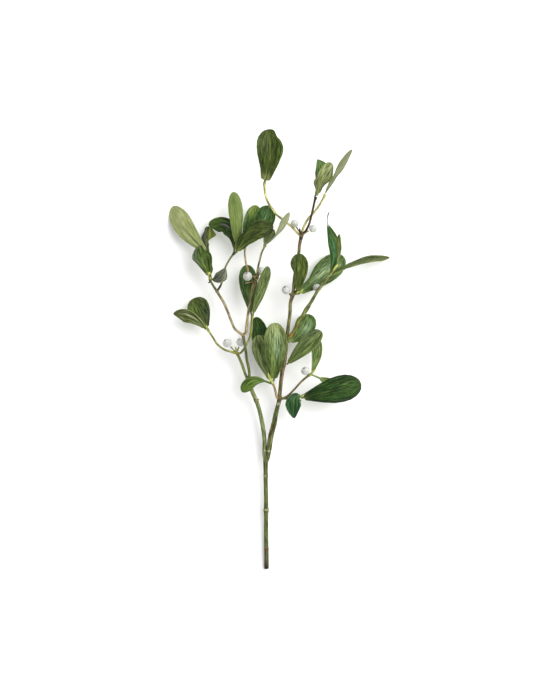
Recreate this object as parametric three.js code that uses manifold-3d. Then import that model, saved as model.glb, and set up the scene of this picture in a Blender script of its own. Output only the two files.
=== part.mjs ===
// A cut spray of mistletoe lying on its side: one forked stem with thin twigs, leathery
// rounded leaves at the twig ends and small white berries on short stalks.
// Millimetres. +Y runs from the cut end to the tips, +X to the right, +Z is up.
import * as THREE from "three";
import Module from "manifold-3d";

const wasm = await Module();
wasm.setup();

// Driving sizes.
const JOINT_GAP = 0.3;
const STEM_SIDES = 8;
const TWIG_SIDES = 6;
const STOUT_STEM = 3.5;
const BLADE_THICKNESS = 0.8;
const STALK_THICKNESS = 1.4;
const STALK_WIDTH = 1.9;
const MIDRIB_DEPTH = 0.35;
const NECK_SHARE = 0.05;
const POINTEDNESS = 0.55;
const EDGE_WAVE = 0.05;
const BERRY_SIDES = 10;
const DIMPLE_DEPTH = 0.07;

// Half width of a blade as a share of its widest, from the shoulders to the tip.
const OUTLINE = [
  [0, 0.27],
  [0.15, 0.5],
  [0.32, 0.75],
  [0.48, 0.93],
  [0.63, 1],
  [0.76, 0.96],
  [0.87, 0.78],
  [0.945, 0.54],
  [1, 0.16],
];
const BLADE_ROWS = [0.015, 0.2, 0.4, 0.6, 0.8, 0.93, 1];
const ACROSS = [-1, -0.5, 0, 0.5, 1];

const BARK = {
  olive: [0.36, 0.41, 0.2],
  brown: [0.42, 0.35, 0.24],
  light: [0.47, 0.5, 0.24],
};
const GREEN = {
  dark: [0.12, 0.22, 0.09],
  mid: [0.22, 0.37, 0.13],
  pale: [0.45, 0.52, 0.27],
};

// Each stem is a list of runs of [x, y, z, diameter]; runs of one stem grow as one piece.
const STEMS = {
  main_stem: {
    bark: "olive",
    runs: [
      [
        [0.4, 0, 2.3, 4.6],
        [0.35, 12, 2.9, 4.5],
        [0.3, 18.5, 3.3, 4.5],
        [0.25, 20.2, 3.4, 4.9],
        [0.2, 22, 3.5, 4.5],
        [0, 40, 4.5, 4.4],
        [0, 56.5, 5.4, 4.6],
        [0, 59, 5.5, 6],
        [0, 61.5, 5.6, 4.6],
        [-0.2, 78, 6.5, 4.4],
        [-0.4, 92, 7.3, 4.5],
        [-0.4, 94.5, 7.4, 4.9],
        [-0.4, 97, 7.6, 4.4],
        [-0.6, 109, 8.3, 5],
      ],
    ],
  },
  left_branch: {
    bark: "olive",
    runs: [
      [
        [-0.72, 109.55, 8.4, 4.9],
        [-1.5, 116, 8.9, 4.6],
        [-1.6, 129, 10, 4.2],
        [-3.4, 144, 11.3, 4.2],
        [-5.5, 154.5, 12.3, 4.1],
        [-9, 166.8, 13.5, 4.1],
        [-10, 169.5, 13.8, 4.9],
        [-11.2, 172.2, 14.1, 4.1],
        [-14, 178.5, 15, 4],
        [-17, 187.5, 16.3, 4.2],
      ],
      [
        [-16.4, 185.5, 16, 3.4],
        [-19.4, 192.5, 17, 3],
        [-21.4, 197.5, 17.2, 2.8],
      ],
      [
        [-16.4, 185.5, 16, 3.4],
        [-16.7, 192.5, 17.8, 3],
        [-16.8, 197.3, 18.9, 2.8],
      ],
      [
        [-10, 169.5, 13.8, 2],
        [-7, 170.7, 14.3, 1.1],
      ],
    ],
  },
  left_berry_sprig: {
    bark: "light",
    runs: [
      [
        [-21.5, 197.85, 17.2, 2.8],
        [-23.5, 204, 17.5, 2.8],
        [-27.5, 213.5, 18, 2.8],
        [-29.6, 217.6, 18, 3.3],
      ],
      [
        [-29, 216.8, 18, 2.8],
        [-35, 218.2, 18.5, 2.2],
        [-41, 220, 18.7, 2.2],
        [-49, 226, 18.6, 2.2],
        [-53.5, 233, 18.4, 2.2],
        [-57, 238.3, 18.3, 2.2],
        [-57.9, 239.7, 18.2, 3.1],
        [-58.7, 240.9, 18.2, 3.4],
      ],
      [
        [-29, 216.8, 17.8, 2.8],
        [-26, 216.9, 17, 2.2],
        [-23, 220, 17, 2.2],
        [-19, 226.5, 19.5, 2.2],
        [-16, 233.5, 22, 2.2],
        [-15, 237.5, 23.4, 2.2],
        [-14.2, 250, 28, 2.2],
        [-13.9, 253.3, 29, 3.1],
        [-13.7, 255.2, 29.6, 3.4],
      ],
      [
        [-29.8, 217, 18, 1.9],
        [-32.5, 220, 18.7, 1.3],
        [-35.6, 223.4, 19.4, 1.6],
      ],
      [
        [-29.4, 217, 18, 1.9],
        [-28.6, 219.4, 18.5, 1.3],
        [-27.1, 223.4, 19.2, 1.6],
      ],
      [
        [-29.8, 218, 18.4, 1.6],
        [-30.2, 221, 19.2, 2.1],
        [-30.4, 223.6, 19.8, 0.7],
      ],
      [
        [-58.5, 240.5, 19.2, 2],
        [-59, 242.4, 23, 2.4],
        [-60.2, 245, 25.4, 0.8],
      ],
    ],
  },
  left_upper_sprig: {
    bark: "brown",
    runs: [
      [
        [-16.8, 197.8, 19.05, 2.8],
        [-17.6, 203, 20.4, 2.8],
        [-19, 209, 22, 2.8],
        [-20.6, 221.6, 25, 2.8],
        [-22, 230.3, 26.5, 2.9],
        [-23, 235.8, 27, 3.8],
      ],
      [
        [-22.6, 234.6, 27, 3],
        [-27, 237.6, 27, 2.6],
        [-31, 241, 26.6, 2.6],
        [-34.4, 248, 26, 2.6],
        [-38, 257.5, 25.2, 2.6],
        [-42.3, 267.3, 24, 2.6],
        [-47.2, 275.5, 22.6, 2.7],
        [-49.7, 279.8, 22, 3.3],
      ],
      [
        [-49.2, 278.8, 22, 2.6],
        [-52.5, 283.8, 20.8, 2.2],
        [-55.4, 288.8, 19.3, 2.3],
        [-56.1, 290.3, 18.7, 3.3],
        [-56.5, 292, 17.9, 2.2],
        [-57.6, 303, 13.4, 2.1],
        [-58.7, 312, 9.6, 2.1],
        [-59, 315.4, 8.9, 2.8],
        [-59.2, 317.2, 8.5, 3],
      ],
      [
        [-49.2, 278.8, 22, 2.6],
        [-45.4, 284.7, 20, 2.1],
        [-43.3, 292, 18.4, 2],
        [-40.8, 302.6, 17, 2],
        [-37.2, 309.7, 17, 2],
        [-33.6, 315, 17.8, 2],
        [-32.2, 316.7, 18.1, 3],
        [-31.2, 318.1, 18.4, 3.3],
      ],
      [
        [-22.8, 234.8, 27, 3.2],
        [-20.6, 236.8, 27.6, 3],
        [-19.6, 242.6, 28.4, 2.9],
        [-18, 255, 29.2, 2.9],
        [-16.5, 264, 29.6, 2.9],
        [-15, 274, 30, 3],
        [-13.4, 281.6, 30.3, 3.1],
        [-11, 287.4, 30.8, 3.7],
        [-8.7, 293.2, 31.2, 4.1],
      ],
      [
        [-9, 292.4, 31.2, 2.8],
        [-13, 296.6, 31.4, 2.2],
        [-18.2, 300, 30.6, 2.5],
        [-18.9, 301.8, 29.8, 3.1],
        [-19.4, 303.6, 28.9, 2],
        [-20.8, 312, 24, 1.9],
        [-21.4, 320, 18.6, 1.9],
        [-21.3, 322.8, 16.9, 2.9],
        [-21.2, 324.6, 15.9, 3.2],
      ],
      [
        [-9, 292.4, 31.2, 2.8],
        [-8.3, 300.5, 31.2, 2.1],
        [-6.3, 309.7, 30.6, 2],
        [-4.3, 317.3, 29.4, 2],
        [-2.2, 321.9, 28.4, 2],
        [-1.5, 323.6, 28, 3],
        [-1, 325.1, 27.7, 3.3],
      ],
      [
        [-10.4, 288.5, 31.2, 2.2],
        [-16, 287.6, 32.4, 1.4],
        [-20.8, 286.8, 33, 1.6],
      ],
      [
        [-9.4, 290.6, 32, 1.9],
        [-11.6, 292.4, 34.2, 2.3],
        [-12.4, 293.6, 35.6, 0.8],
      ],
      [
        [-9.6, 291.6, 32, 1.9],
        [-13.9, 292.4, 33.9, 1.5],
      ],
      [
        [-8.4, 292.6, 30.4, 1.9],
        [-6.9, 295.4, 28.5, 1.5],
      ],
      [
        [-55.2, 288.6, 19.4, 1.8],
        [-58, 287.2, 19, 1.2],
      ],
      [
        [-55.2, 290, 19.4, 1.9],
        [-56.1, 292.4, 23.2, 2.3],
        [-57.4, 296.2, 25.6, 0.8],
      ],
    ],
  },
  right_branch: {
    bark: "brown",
    against: ["main_stem", "left_branch"],
    runs: [
      [
        [1.7, 111, 8.9, 3.4],
        [2.3, 116, 9.4, 4.6],
        [3, 121, 10, 5.4],
        [4.9, 134, 11.4, 5.5],
        [7.2, 143, 12.5, 5.2],
        [7.7, 145, 12.8, 5.7],
        [8.2, 147, 13.1, 5.1],
        [9.5, 154.5, 14, 4.9],
        [11.6, 163.6, 15.1, 4.2],
        [12.9, 168.5, 15.8, 4.4],
        [13.4, 171, 16.1, 5.2],
        [13.7, 174.5, 16.6, 4],
        [15, 189.3, 18.3, 3.9],
        [16.4, 199.5, 19.6, 4.1],
        [17.2, 203.4, 20.1, 4.5],
        [17.6, 205.5, 20.4, 5],
        [18.1, 208, 20.7, 4.2],
        [18.6, 211, 21.1, 4.5],
        [19.2, 214.5, 21.5, 3.9],
        [20.5, 227.5, 22.9, 3.9],
        [20.8, 230, 23.2, 4.8],
        [21.1, 233, 23.5, 3.7],
        [22.3, 244.6, 24.9, 3.5],
        [23.8, 256, 26.2, 3.5],
        [24.8, 269, 27.4, 3.5],
        [26.3, 273.6, 27.9, 4],
        [26.9, 275.8, 28.1, 4.6],
        [27.2, 278.5, 28.3, 3.4],
        [27.7, 285, 28.6, 3.2],
        [29, 297, 29, 3.2],
        [32.8, 317.6, 29.7, 3.2],
        [33.8, 326.7, 30.2, 3.3],
        [34.6, 330.6, 30.5, 3.6],
      ],
      [
        [17.2, 205, 20.4, 2.2],
        [13.9, 205.4, 20.8, 1.4],
      ],
      [
        [27, 275.8, 28.1, 2.9],
        [29.4, 276.2, 28.6, 2.4],
        [30.8, 276.6, 28.9, 3],
      ],
      [
        [26.6, 275.2, 28.1, 2.2],
        [24.4, 275, 28.2, 1.8],
        [23.4, 276.7, 28.5, 1.8],
      ],
      [
        [30.6, 276.2, 29.2, 2],
        [34.7, 277.9, 32.2, 2.4],
        [37.2, 281.2, 34, 0.8],
      ],
    ],
  },
  low_twig_left: {
    bark: "brown",
    against: ["right_branch"],
    runs: [
      [
        [13.2, 170.3, 16, 2.9],
        [11, 172.6, 16.8, 2.4],
        [9.6, 178, 17.2, 2.3],
        [7.7, 184.2, 17.7, 2.3],
        [6.7, 186.2, 17.9, 3.1],
        [6, 187.6, 18, 3.4],
      ],
      [
        [6, 187.2, 18.6, 2.2],
        [4.8, 190.8, 22, 2.7],
        [3, 194.6, 24.2, 2.2],
        [2, 197.4, 25, 0.8],
      ],
    ],
  },
  low_twig_right: {
    bark: "brown",
    against: ["right_branch"],
    runs: [
      [
        [13.6, 170.6, 16, 2.9],
        [17, 171.6, 16.8, 2.5],
        [20, 173, 17.5, 2.2],
        [27.7, 180, 19, 2.2],
        [35.3, 188.3, 20.5, 2.2],
        [41, 193.2, 21.7, 2.4],
        [43.2, 194.7, 22.1, 3],
        [44.7, 195.5, 22.4, 3.2],
      ],
      [
        [17, 171.4, 16.6, 2.3],
        [25, 171.4, 17.8, 2.1],
        [31, 172, 18.8, 2.2],
        [32.6, 172.2, 19.1, 3],
        [33.8, 172.3, 19.3, 3.2],
      ],
      [
        [42, 193.6, 21.9, 1.9],
        [41.4, 195, 22.4, 1.5],
      ],
      [
        [33, 172.3, 20, 2],
        [35.6, 174, 23.2, 2.5],
        [37.8, 176, 24.4, 0.8],
      ],
      [
        [44, 195.2, 23.2, 2],
        [47.4, 198.6, 26, 2.5],
        [50.4, 202, 27.4, 0.8],
      ],
    ],
  },
  side_branch: {
    bark: "light",
    against: ["right_branch"],
    runs: [
      [
        [20.8, 230, 23.2, 3.4],
        [23.6, 233, 24, 3.4],
        [26.3, 235.8, 24.6, 4.6],
        [28, 238.8, 25.2, 3.6],
        [30.4, 243.6, 26, 3.6],
        [34.5, 250.7, 27.5, 3.6],
        [38.5, 257.5, 29, 3.6],
        [41.7, 262.4, 30, 3.7],
        [42.6, 263.9, 30.3, 2.9],
        [46, 269.5, 31.4, 3],
        [51, 278.4, 32.8, 2.8],
        [57.3, 286.5, 32.8, 2.8],
        [62, 292.6, 31.8, 2.8],
        [63.6, 295, 31.3, 3.4],
        [64.6, 297, 30.9, 3.7],
      ],
      [
        [49.6, 276, 32.2, 2],
        [50, 278, 30.2, 1.4],
        [50.3, 279.8, 28, 1.5],
      ],
      [
        [64.2, 296, 32.2, 2.2],
        [67.4, 300, 36.6, 2.5],
        [70.4, 304.2, 38.2, 0.8],
      ],
    ],
  },
  top_fork: {
    bark: "brown",
    runs: [
      [
        [34.7, 331, 30.6, 3.6],
        [35.4, 334.6, 31, 4.5],
        [35.7, 336.6, 31.1, 3.8],
      ],
      [
        [35.4, 334, 31, 2.9],
        [31.8, 336.6, 30.8, 2.4],
        [26.7, 342.2, 29.8, 2.4],
        [16.7, 350.3, 27.2, 2.4],
        [10, 356, 26.4, 2.4],
        [4.9, 363, 26, 2.4],
        [1.9, 368, 26.2, 2.4],
        [-0.6, 375.5, 26.8, 2.4],
        [-1.5, 383.4, 26.8, 2.4],
        [-1.5, 385.8, 26.9, 3.1],
        [-1.3, 387.4, 27, 3.4],
      ],
      [
        [35.6, 334.4, 31, 2.9],
        [39.4, 338.5, 31.8, 2.4],
        [43, 345.6, 33.2, 2.3],
        [45, 352.8, 34.4, 2.3],
        [47.1, 362, 35.8, 2.3],
        [48.5, 368.4, 36.6, 2.3],
        [49.2, 371, 36.9, 3],
        [49.6, 372.7, 37.2, 3.3],
      ],
      [
        [35.4, 334.4, 30.4, 2.9],
        [37, 341, 29.4, 2.3],
        [42, 351, 28.4, 2.3],
        [48.5, 358, 28.1, 2.3],
        [53.5, 365, 28, 2.3],
        [57.3, 371.6, 28, 2.3],
        [58.5, 374.3, 28, 3],
        [59.2, 376.2, 28, 3.3],
      ],
      [
        [34.8, 336, 31.4, 1.9],
        [33.9, 339, 32.6, 2.1],
        [33.4, 341.6, 33.2, 0.8],
      ],
      [
        [34.6, 336.4, 30, 1.9],
        [32.6, 339.6, 27.8, 1.4],
        [30.4, 342.8, 26.1, 1.6],
      ],
      [
        [36.4, 335.2, 31, 1.9],
        [40, 337.4, 31.3, 1.4],
        [42.9, 339, 31.6, 1.6],
      ],
    ],
  },
};

// Each leaf: base and tip of its midrib, how far the middle bows from the straight line, the
// full width of the blade, roll about the midrib and twist along it in degrees, how much the
// blade is cupped, neck, the share of the length that is bare stalk, and sharp, how pointed
// the tip is.
const LEAVES = {
  leaf_left_round: {
    base: [-59.1, 242.1, 17.4],
    tip: [-72, 272, 9],
    bow: [0, 0, 3],
    width: 22,
    cup: 0.12,
  },
  leaf_left_point: {
    base: [-60.9, 241.6, 19.4],
    tip: [-92.6, 256.2, 17],
    bow: [0, 1, 5],
    width: 17,
    roll: 20,
    cup: 0.35,
    sharp: 0.9,
  },
  leaf_outer_dark: {
    base: [-57, 294, 20.6],
    tip: [-69.4, 323.8, 5],
    bow: [0, 0, 2.4],
    width: 17,
    roll: -14,
  },
  leaf_outer_pale: {
    base: [-59.6, 318.6, 12.3],
    tip: [-93.3, 365, -1.6],
    bow: [-3, -2, 7],
    width: 20.5,
    roll: 180,
    cup: 0.14,
    green: "pale",
  },
  leaf_outer_curled: {
    base: [-58.4, 318.3, 7.6],
    tip: [-50.5, 338.2, 6],
    bow: [-4.5, 7, 0],
    width: 10,
    roll: 30,
  },
  leaf_outer_small: {
    base: [-53.4, 290.6, 21],
    tip: [-40.5, 301.5, 31],
    bow: [0, 0, 2],
    width: 14,
    roll: -18,
  },
  leaf_crown_dark: {
    base: [-31.8, 319.9, 17.2],
    tip: [-57, 346, 12],
    bow: [4.5, 8.5, 4],
    width: 16,
    roll: 10,
  },
  leaf_crown_pale: {
    base: [-30.5, 319.6, 19.7],
    tip: [-32.6, 378, 25],
    bow: [1, 0, 3],
    width: 14.5,
    roll: 180,
    cup: 0.2,
    green: "pale",
  },
  leaf_crown_broad: {
    base: [-29.7, 318.3, 21.4],
    tip: [5.8, 349.4, 30],
    bow: [-2.4, 2.4, 4],
    width: 25,
    cup: 0.1,
    green: "mid",
  },
  leaf_crown_back: {
    base: [-21.9, 325.2, 14.6],
    tip: [-9.4, 365, 12],
    bow: [-1, 0, 0],
    width: 18,
    green: "mid",
  },
  leaf_crown_shiny: { base: [-20.6, 325.9, 17.3], tip: [2.6, 364.6, 20], bow: [3.6, -1, 2], width: 21 },
  leaf_crown_thin: {
    base: [-0.1, 326, 28.9],
    tip: [23, 356.4, 43],
    bow: [1, -1, 1],
    width: 13,
    roll: 118,
    sharp: 0.5,
    green: "pale",
  },
  leaf_crown_short: {
    base: [-1.4, 325.9, 26.8],
    tip: [5.5, 345.5, 23.6],
    bow: [0, 0, 0],
    width: 12,
    green: "mid",
  },
  leaf_centre_wide: {
    base: [-14.9, 256.9, 27.8],
    tip: [-19.5, 305.4, 12],
    bow: [0, 0, -3],
    width: 18.5,
  },
  leaf_centre_narrow: {
    base: [-12.9, 256, 31.1],
    tip: [1.8, 303.3, 42],
    bow: [0, 0, 2],
    width: 14,
    roll: -42,
    green: "mid",
  },
  leaf_top: { base: [-1.2, 388.2, 27.3], tip: [2, 440.1, 33], bow: [3, 0, 8], width: 26, cup: 0.2 },
  leaf_peak_front: {
    base: [50.1, 373.8, 38.9],
    tip: [65, 406.8, 47],
    bow: [0, 0, 3],
    width: 17,
    roll: -20,
    green: "mid",
  },
  leaf_peak_back: {
    base: [49.3, 374, 36.8],
    tip: [49.5, 410, 37],
    bow: [-1, 0, 2],
    width: 15,
    roll: 10,
    sharp: 0.7,
  },
  leaf_peak_thin: {
    base: [59.6, 377, 28],
    tip: [86, 420, 31],
    bow: [1, -1, 2],
    width: 15,
    roll: 120,
    sharp: 0.5,
    green: "pale",
  },
  leaf_right_upright: {
    base: [31.5, 278.9, 30.2],
    tip: [32.5, 316, 39],
    bow: [1, 0, 3],
    width: 18,
    green: "mid",
  },
  leaf_right_broad: {
    base: [33, 276.6, 28.4],
    tip: [78, 314, -1.6],
    bow: [0, 0, -2],
    width: 24.5,
    green: "mid",
  },
  leaf_right_blue: {
    base: [64.8, 299.4, 31.8],
    tip: [61, 345.5, 40],
    bow: [6.5, 0, 1],
    width: 16,
    roll: 35,
    sharp: 1,
  },
  leaf_right_edge: {
    base: [65.9, 298.7, 29.6],
    tip: [72.3, 335.5, 25],
    bow: [0.5, 0, 0],
    width: 14,
    roll: 66,
    sharp: 0.8,
  },
  leaf_right_long: {
    base: [66.9, 296.2, 30.6],
    tip: [124, 313, 4],
    bow: [0, 2.6, 2],
    width: 16,
    roll: 62,
    neck: 0.24,
    sharp: 0.8,
    green: "mid",
  },
  leaf_side_back: {
    base: [23.6, 228.4, 21.4],
    tip: [42, 256, 9],
    bow: [4, -2, 0],
    width: 21,
    green: "mid",
  },
  leaf_side_dark: {
    base: [21.6, 206.4, 20.6],
    tip: [55, 239, 20],
    bow: [0, 0, 5],
    width: 17,
    roll: 10,
    cup: 0.25,
  },
  leaf_side_narrow: {
    base: [46.2, 197.4, 22.4],
    tip: [52.5, 231, 11],
    bow: [0, 0, 0],
    width: 14,
    roll: 34,
    green: "mid",
  },
  leaf_low_hidden: {
    base: [46, 195.2, 21.7],
    tip: [79, 178, 13],
    bow: [0, 1, -1],
    width: 13,
    neck: 0.26,
  },
  leaf_low_broad: {
    base: [36.3, 172.4, 20.7],
    tip: [95, 186, 25],
    bow: [0, 0, 4],
    width: 27,
    cup: 0.08,
  },
  leaf_low_curled: {
    base: [32.8, 174.9, 20.4],
    tip: [27, 153.5, 22],
    bow: [-3, 5, 9],
    width: 16,
    sharp: 0.9,
  },
  leaf_inner_front: {
    base: [7.8, 190, 19.6],
    tip: [8, 247, 26],
    bow: [2, 0, 7],
    width: 23,
    green: "mid",
  },
  leaf_inner_olive: { base: [4.8, 189.3, 17.5], tip: [-8, 235, 15], bow: [0, 0, 2], width: 20 },
  leaf_inner_back: { base: [5.6, 188.9, 15.5], tip: [-10.5, 253, 6], bow: [0, 0, -2], width: 18 },
  leaf_inner_arched: {
    base: [3.6, 186.9, 17.8],
    tip: [-23.5, 178, 23],
    bow: [-2, 6.5, 5],
    width: 12,
    neck: 0.18,
    green: "mid",
  },
};

// Each berry: centre, diameter, and the way its tiny dark scar faces.
const BERRIES = {
  berry_left_outer: { centre: [-39, 227, 20], diameter: 8.6, facing: [-0.5, 0.6, 0.4] },
  berry_left_inner: { centre: [-25.5, 228, 20], diameter: 8.6, facing: [0.2, 0.8, -0.3] },
  berry_centre_front: { centre: [-18.3, 293.4, 36], diameter: 9, facing: [-0.25, 0.75, 0.6] },
  berry_centre_back: { centre: [-4.7, 299, 26], diameter: 8.5, facing: [0.4, 0.7, -0.4] },
  berry_top_left: { centre: [28.5, 346.5, 24], diameter: 8, facing: [-0.3, 0.8, -0.3] },
  berry_top_right: { centre: [46.8, 341.2, 32], diameter: 7.8, facing: [0.8, 0.4, -0.2] },
  berry_right_high: { centre: [20, 280.1, 29], diameter: 8.6, facing: [-0.35, 0.7, 0.62] },
  berry_right_side: { centre: [50.6, 282.4, 24.5], diameter: 7.8, facing: [0.2, 0.6, -0.7] },
  berry_low: { centre: [39.4, 199, 24], diameter: 8.6, facing: [-0.35, 0.7, 0.62] },
};

// A closed solid from a list of points and triangles.
function solid(points, triangles) {
  const mesh = new wasm.Mesh({
    numProp: 3,
    vertProperties: new Float32Array(points.flat()),
    triVerts: new Uint32Array(triangles.flat()),
  });
  return new wasm.Manifold(mesh);
}

// One run of a stem: rings round its centreline, closed at both ends. With grow above zero it
// comes out that much stouter and longer, which is the room a neighbour has to leave.
function stemRun(run, grow = 0) {
  const centres = run.map(([x, y, z]) => new THREE.Vector3(x, y, z));
  const last = centres.length - 1;
  const widest = Math.max(...run.map((point) => point[3]));
  const sides = widest < STOUT_STEM ? TWIG_SIDES : STEM_SIDES;
  const up = new THREE.Vector3(0, 0, 1);
  const points = [];
  const triangles = [];
  centres.forEach((centre, i) => {
    const before = centres[Math.max(i - 1, 0)];
    const after = centres[Math.min(i + 1, last)];
    const along = after.clone().sub(before).normalize();
    const side = along.clone().cross(up).normalize();
    const top = side.clone().cross(along);
    const push = i === 0 ? -grow : i === last ? grow : 0;
    const radius = run[i][3] / 2 + grow;
    for (let k = 0; k < sides; k += 1) {
      const angle = (2 * Math.PI * k) / sides;
      const point = centre
        .clone()
        .addScaledVector(along, push)
        .addScaledVector(side, radius * Math.cos(angle))
        .addScaledVector(top, radius * Math.sin(angle));
      points.push(point.toArray());
    }
  });
  for (let i = 0; i < last; i += 1) {
    for (let k = 0; k < sides; k += 1) {
      const a = i * sides + k;
      const b = i * sides + ((k + 1) % sides);
      triangles.push([a, a + sides, b], [b, a + sides, b + sides]);
    }
  }
  const far = last * sides;
  for (let k = 1; k < sides - 1; k += 1) {
    triangles.push([0, k, k + 1], [far, far + k + 1, far + k]);
  }
  return solid(points, triangles);
}

// All the runs of a stem fused into one piece.
function stem(name, grow = 0) {
  return STEMS[name].runs
    .map((run) => stemRun(run, grow))
    .reduce((whole, piece) => whole.add(piece));
}

// Half width of a leaf at v along it, as a share of the widest; sharp draws the tip to a point.
function halfWidthShare(v, neck, width, sharp) {
  const stalk = STALK_WIDTH / width;
  if (v < neck) {
    return stalk;
  }
  const s = (v - neck) / (1 - neck);
  const next = OUTLINE.findIndex(([at]) => at >= s);
  if (next <= 0) {
    return OUTLINE[0][1];
  }
  const [from, low] = OUTLINE[next - 1];
  const [to, high] = OUTLINE[next];
  const narrowed = 1 - (POINTEDNESS * sharp * Math.max(s - 0.6, 0)) / 0.4;
  return THREE.MathUtils.mapLinear(s, from, to, low, high) * narrowed;
}

// The midrib of a leaf at v along it.
function midrib(leaf, v) {
  const base = new THREE.Vector3(...leaf.base);
  const tip = new THREE.Vector3(...leaf.tip);
  const bow = new THREE.Vector3(...leaf.bow);
  return base.lerp(tip, v).addScaledVector(bow, 4 * v * (1 - v));
}

// A point on the middle surface of a leaf, u across it from -1 to 1 and v along it.
function bladePoint(leaf, u, v) {
  const { width, roll = 0, twist = 0, cup = 0.15, neck = NECK_SHARE, sharp = 0, phase } = leaf;
  const along = midrib(leaf, v + 0.01).sub(midrib(leaf, v - 0.01)).normalize();
  const flat = along.clone().cross(new THREE.Vector3(0, 0, 1)).normalize();
  const angle = THREE.MathUtils.degToRad(roll + twist * (v - 0.5));
  const side = flat.applyAxisAngle(along, -angle);
  const normal = side.clone().cross(along);
  const half = (width / 2) * halfWidthShare(v, neck, width, sharp);
  const wave = v < neck ? 0 : EDGE_WAVE * Math.sin(2 * Math.PI * 1.6 * v + phase);
  const lift = cup * (0.5 * u * u + 0.5 * Math.abs(u)) + wave * u * u;
  return midrib(leaf, v).addScaledVector(side, u * half).addScaledVector(normal, lift * half);
}

// One leaf: the blade with its stalk as a closed plate, flattened where it lies on the table.
function leafSolid(leaf) {
  const { neck = NECK_SHARE } = leaf;
  const rows = [0, neck * 0.6, ...BLADE_ROWS.map((s) => neck + (1 - neck) * s)];
  const points = [];
  const triangles = [];
  const step = 0.004;
  for (const face of [1, -1]) {
    for (const v of rows) {
      for (const u of ACROSS) {
        const across = bladePoint(leaf, u + step, v).sub(bladePoint(leaf, u - step, v));
        const along = bladePoint(leaf, u, v + step).sub(bladePoint(leaf, u, v - step));
        const normal = across.cross(along).normalize();
        const thickness = v < neck ? STALK_THICKNESS : BLADE_THICKNESS;
        const rib = face < 0 && u === 0 ? MIDRIB_DEPTH * (1 - v) : 0;
        const point = bladePoint(leaf, u, v).addScaledVector(normal, face * (thickness / 2 + rib));
        points.push(point.toArray());
      }
    }
  }
  const columns = ACROSS.length;
  const under = rows.length * columns;
  for (const point of points.slice(0, under)) {
    point[2] = Math.max(point[2], leaf.roll === 180 ? 0 : BLADE_THICKNESS);
  }
  for (const point of points.slice(under)) {
    point[2] = Math.max(point[2], leaf.roll === 180 ? BLADE_THICKNESS : 0);
  }
  for (let i = 0; i < rows.length - 1; i += 1) {
    for (let j = 0; j < columns - 1; j += 1) {
      const a = i * columns + j;
      const b = a + 1;
      const c = a + columns;
      const d = c + 1;
      triangles.push([a, b, c], [b, d, c]);
      triangles.push([under + a, under + c, under + b], [under + b, under + c, under + d]);
    }
    const left = i * columns;
    const right = left + columns - 1;
    triangles.push([left, left + columns, under + left]);
    triangles.push([left + columns, under + left + columns, under + left]);
    triangles.push([right, under + right, right + columns]);
    triangles.push([right + columns, under + right, under + right + columns]);
  }
  const end = (rows.length - 1) * columns;
  for (let j = 0; j < columns - 1; j += 1) {
    triangles.push([j, under + j, j + 1], [j + 1, under + j, under + j + 1]);
    triangles.push([end + j, end + j + 1, under + end + j]);
    triangles.push([end + j + 1, under + end + j + 1, under + end + j]);
  }
  return solid(points, triangles);
}

// One berry: a ball with a small dimple where the flower was.
function berrySolid({ centre, diameter, facing }) {
  const radius = diameter / 2;
  const axis = new THREE.Vector3(...facing).normalize();
  const turn = new THREE.Quaternion().setFromUnitVectors(new THREE.Vector3(0, 0, 1), axis);
  const rings = [-56, -24, 8, 38, 62, 78].map((degrees) => {
    const angle = THREE.MathUtils.degToRad(degrees);
    return [Math.cos(angle), Math.sin(angle)];
  });
  rings.push([0.12, 1 - DIMPLE_DEPTH]);
  const place = (x, y, z) =>
    new THREE.Vector3(x, y, z)
      .multiplyScalar(radius)
      .applyQuaternion(turn)
      .add(new THREE.Vector3(...centre))
      .toArray();
  const points = [place(0, 0, -1)];
  for (const [out, height] of rings) {
    for (let k = 0; k < BERRY_SIDES; k += 1) {
      const angle = (2 * Math.PI * k) / BERRY_SIDES;
      points.push(place(out * Math.cos(angle), out * Math.sin(angle), height));
    }
  }
  points.push(place(0, 0, 1 - DIMPLE_DEPTH * 1.3));
  const triangles = [];
  const top = points.length - 1;
  const lastRing = top - BERRY_SIDES;
  for (let k = 0; k < BERRY_SIDES; k += 1) {
    const next = (k + 1) % BERRY_SIDES;
    triangles.push([0, 1 + next, 1 + k]);
    triangles.push([top, lastRing + k, lastRing + next]);
    for (let i = 0; i < rings.length - 1; i += 1) {
      const a = 1 + i * BERRY_SIDES + k;
      const b = 1 + i * BERRY_SIDES + next;
      triangles.push([a, b, a + BERRY_SIDES], [b, b + BERRY_SIDES, a + BERRY_SIDES]);
    }
  }
  return solid(points, triangles);
}

// A named mesh with its own material from a closed solid.
function meshOf(name, shape, colour, roughness) {
  const { vertProperties, triVerts } = shape.getMesh();
  const geometry = new THREE.BufferGeometry();
  geometry.setAttribute("position", new THREE.Float32BufferAttribute(vertProperties, 3));
  geometry.setIndex(new THREE.Uint32BufferAttribute(triVerts, 1));
  geometry.computeVertexNormals();
  const material = new THREE.MeshStandardMaterial({
    color: new THREE.Color(...colour),
    roughness,
    metalness: 0,
  });
  const mesh = new THREE.Mesh(geometry, material);
  mesh.name = name;
  return mesh;
}

const spray = new THREE.Group();
spray.name = "mistletoe_spray";

for (const [name, { bark, against = [] }] of Object.entries(STEMS)) {
  const room = against.map((other) => stem(other, JOINT_GAP));
  const shape = room.reduce((piece, other) => piece.subtract(other), stem(name));
  spray.add(meshOf(name, shape, BARK[bark], 0.6));
}

Object.entries(LEAVES).forEach(([name, leaf], order) => {
  const shape = leafSolid({ ...leaf, phase: order * 1.7 });
  spray.add(meshOf(name, shape, GREEN[leaf.green ?? "dark"], 0.45));
});

for (const [name, berry] of Object.entries(BERRIES)) {
  spray.add(meshOf(name, berrySolid(berry), [0.88, 0.88, 0.84], 0.3));
}

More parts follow.
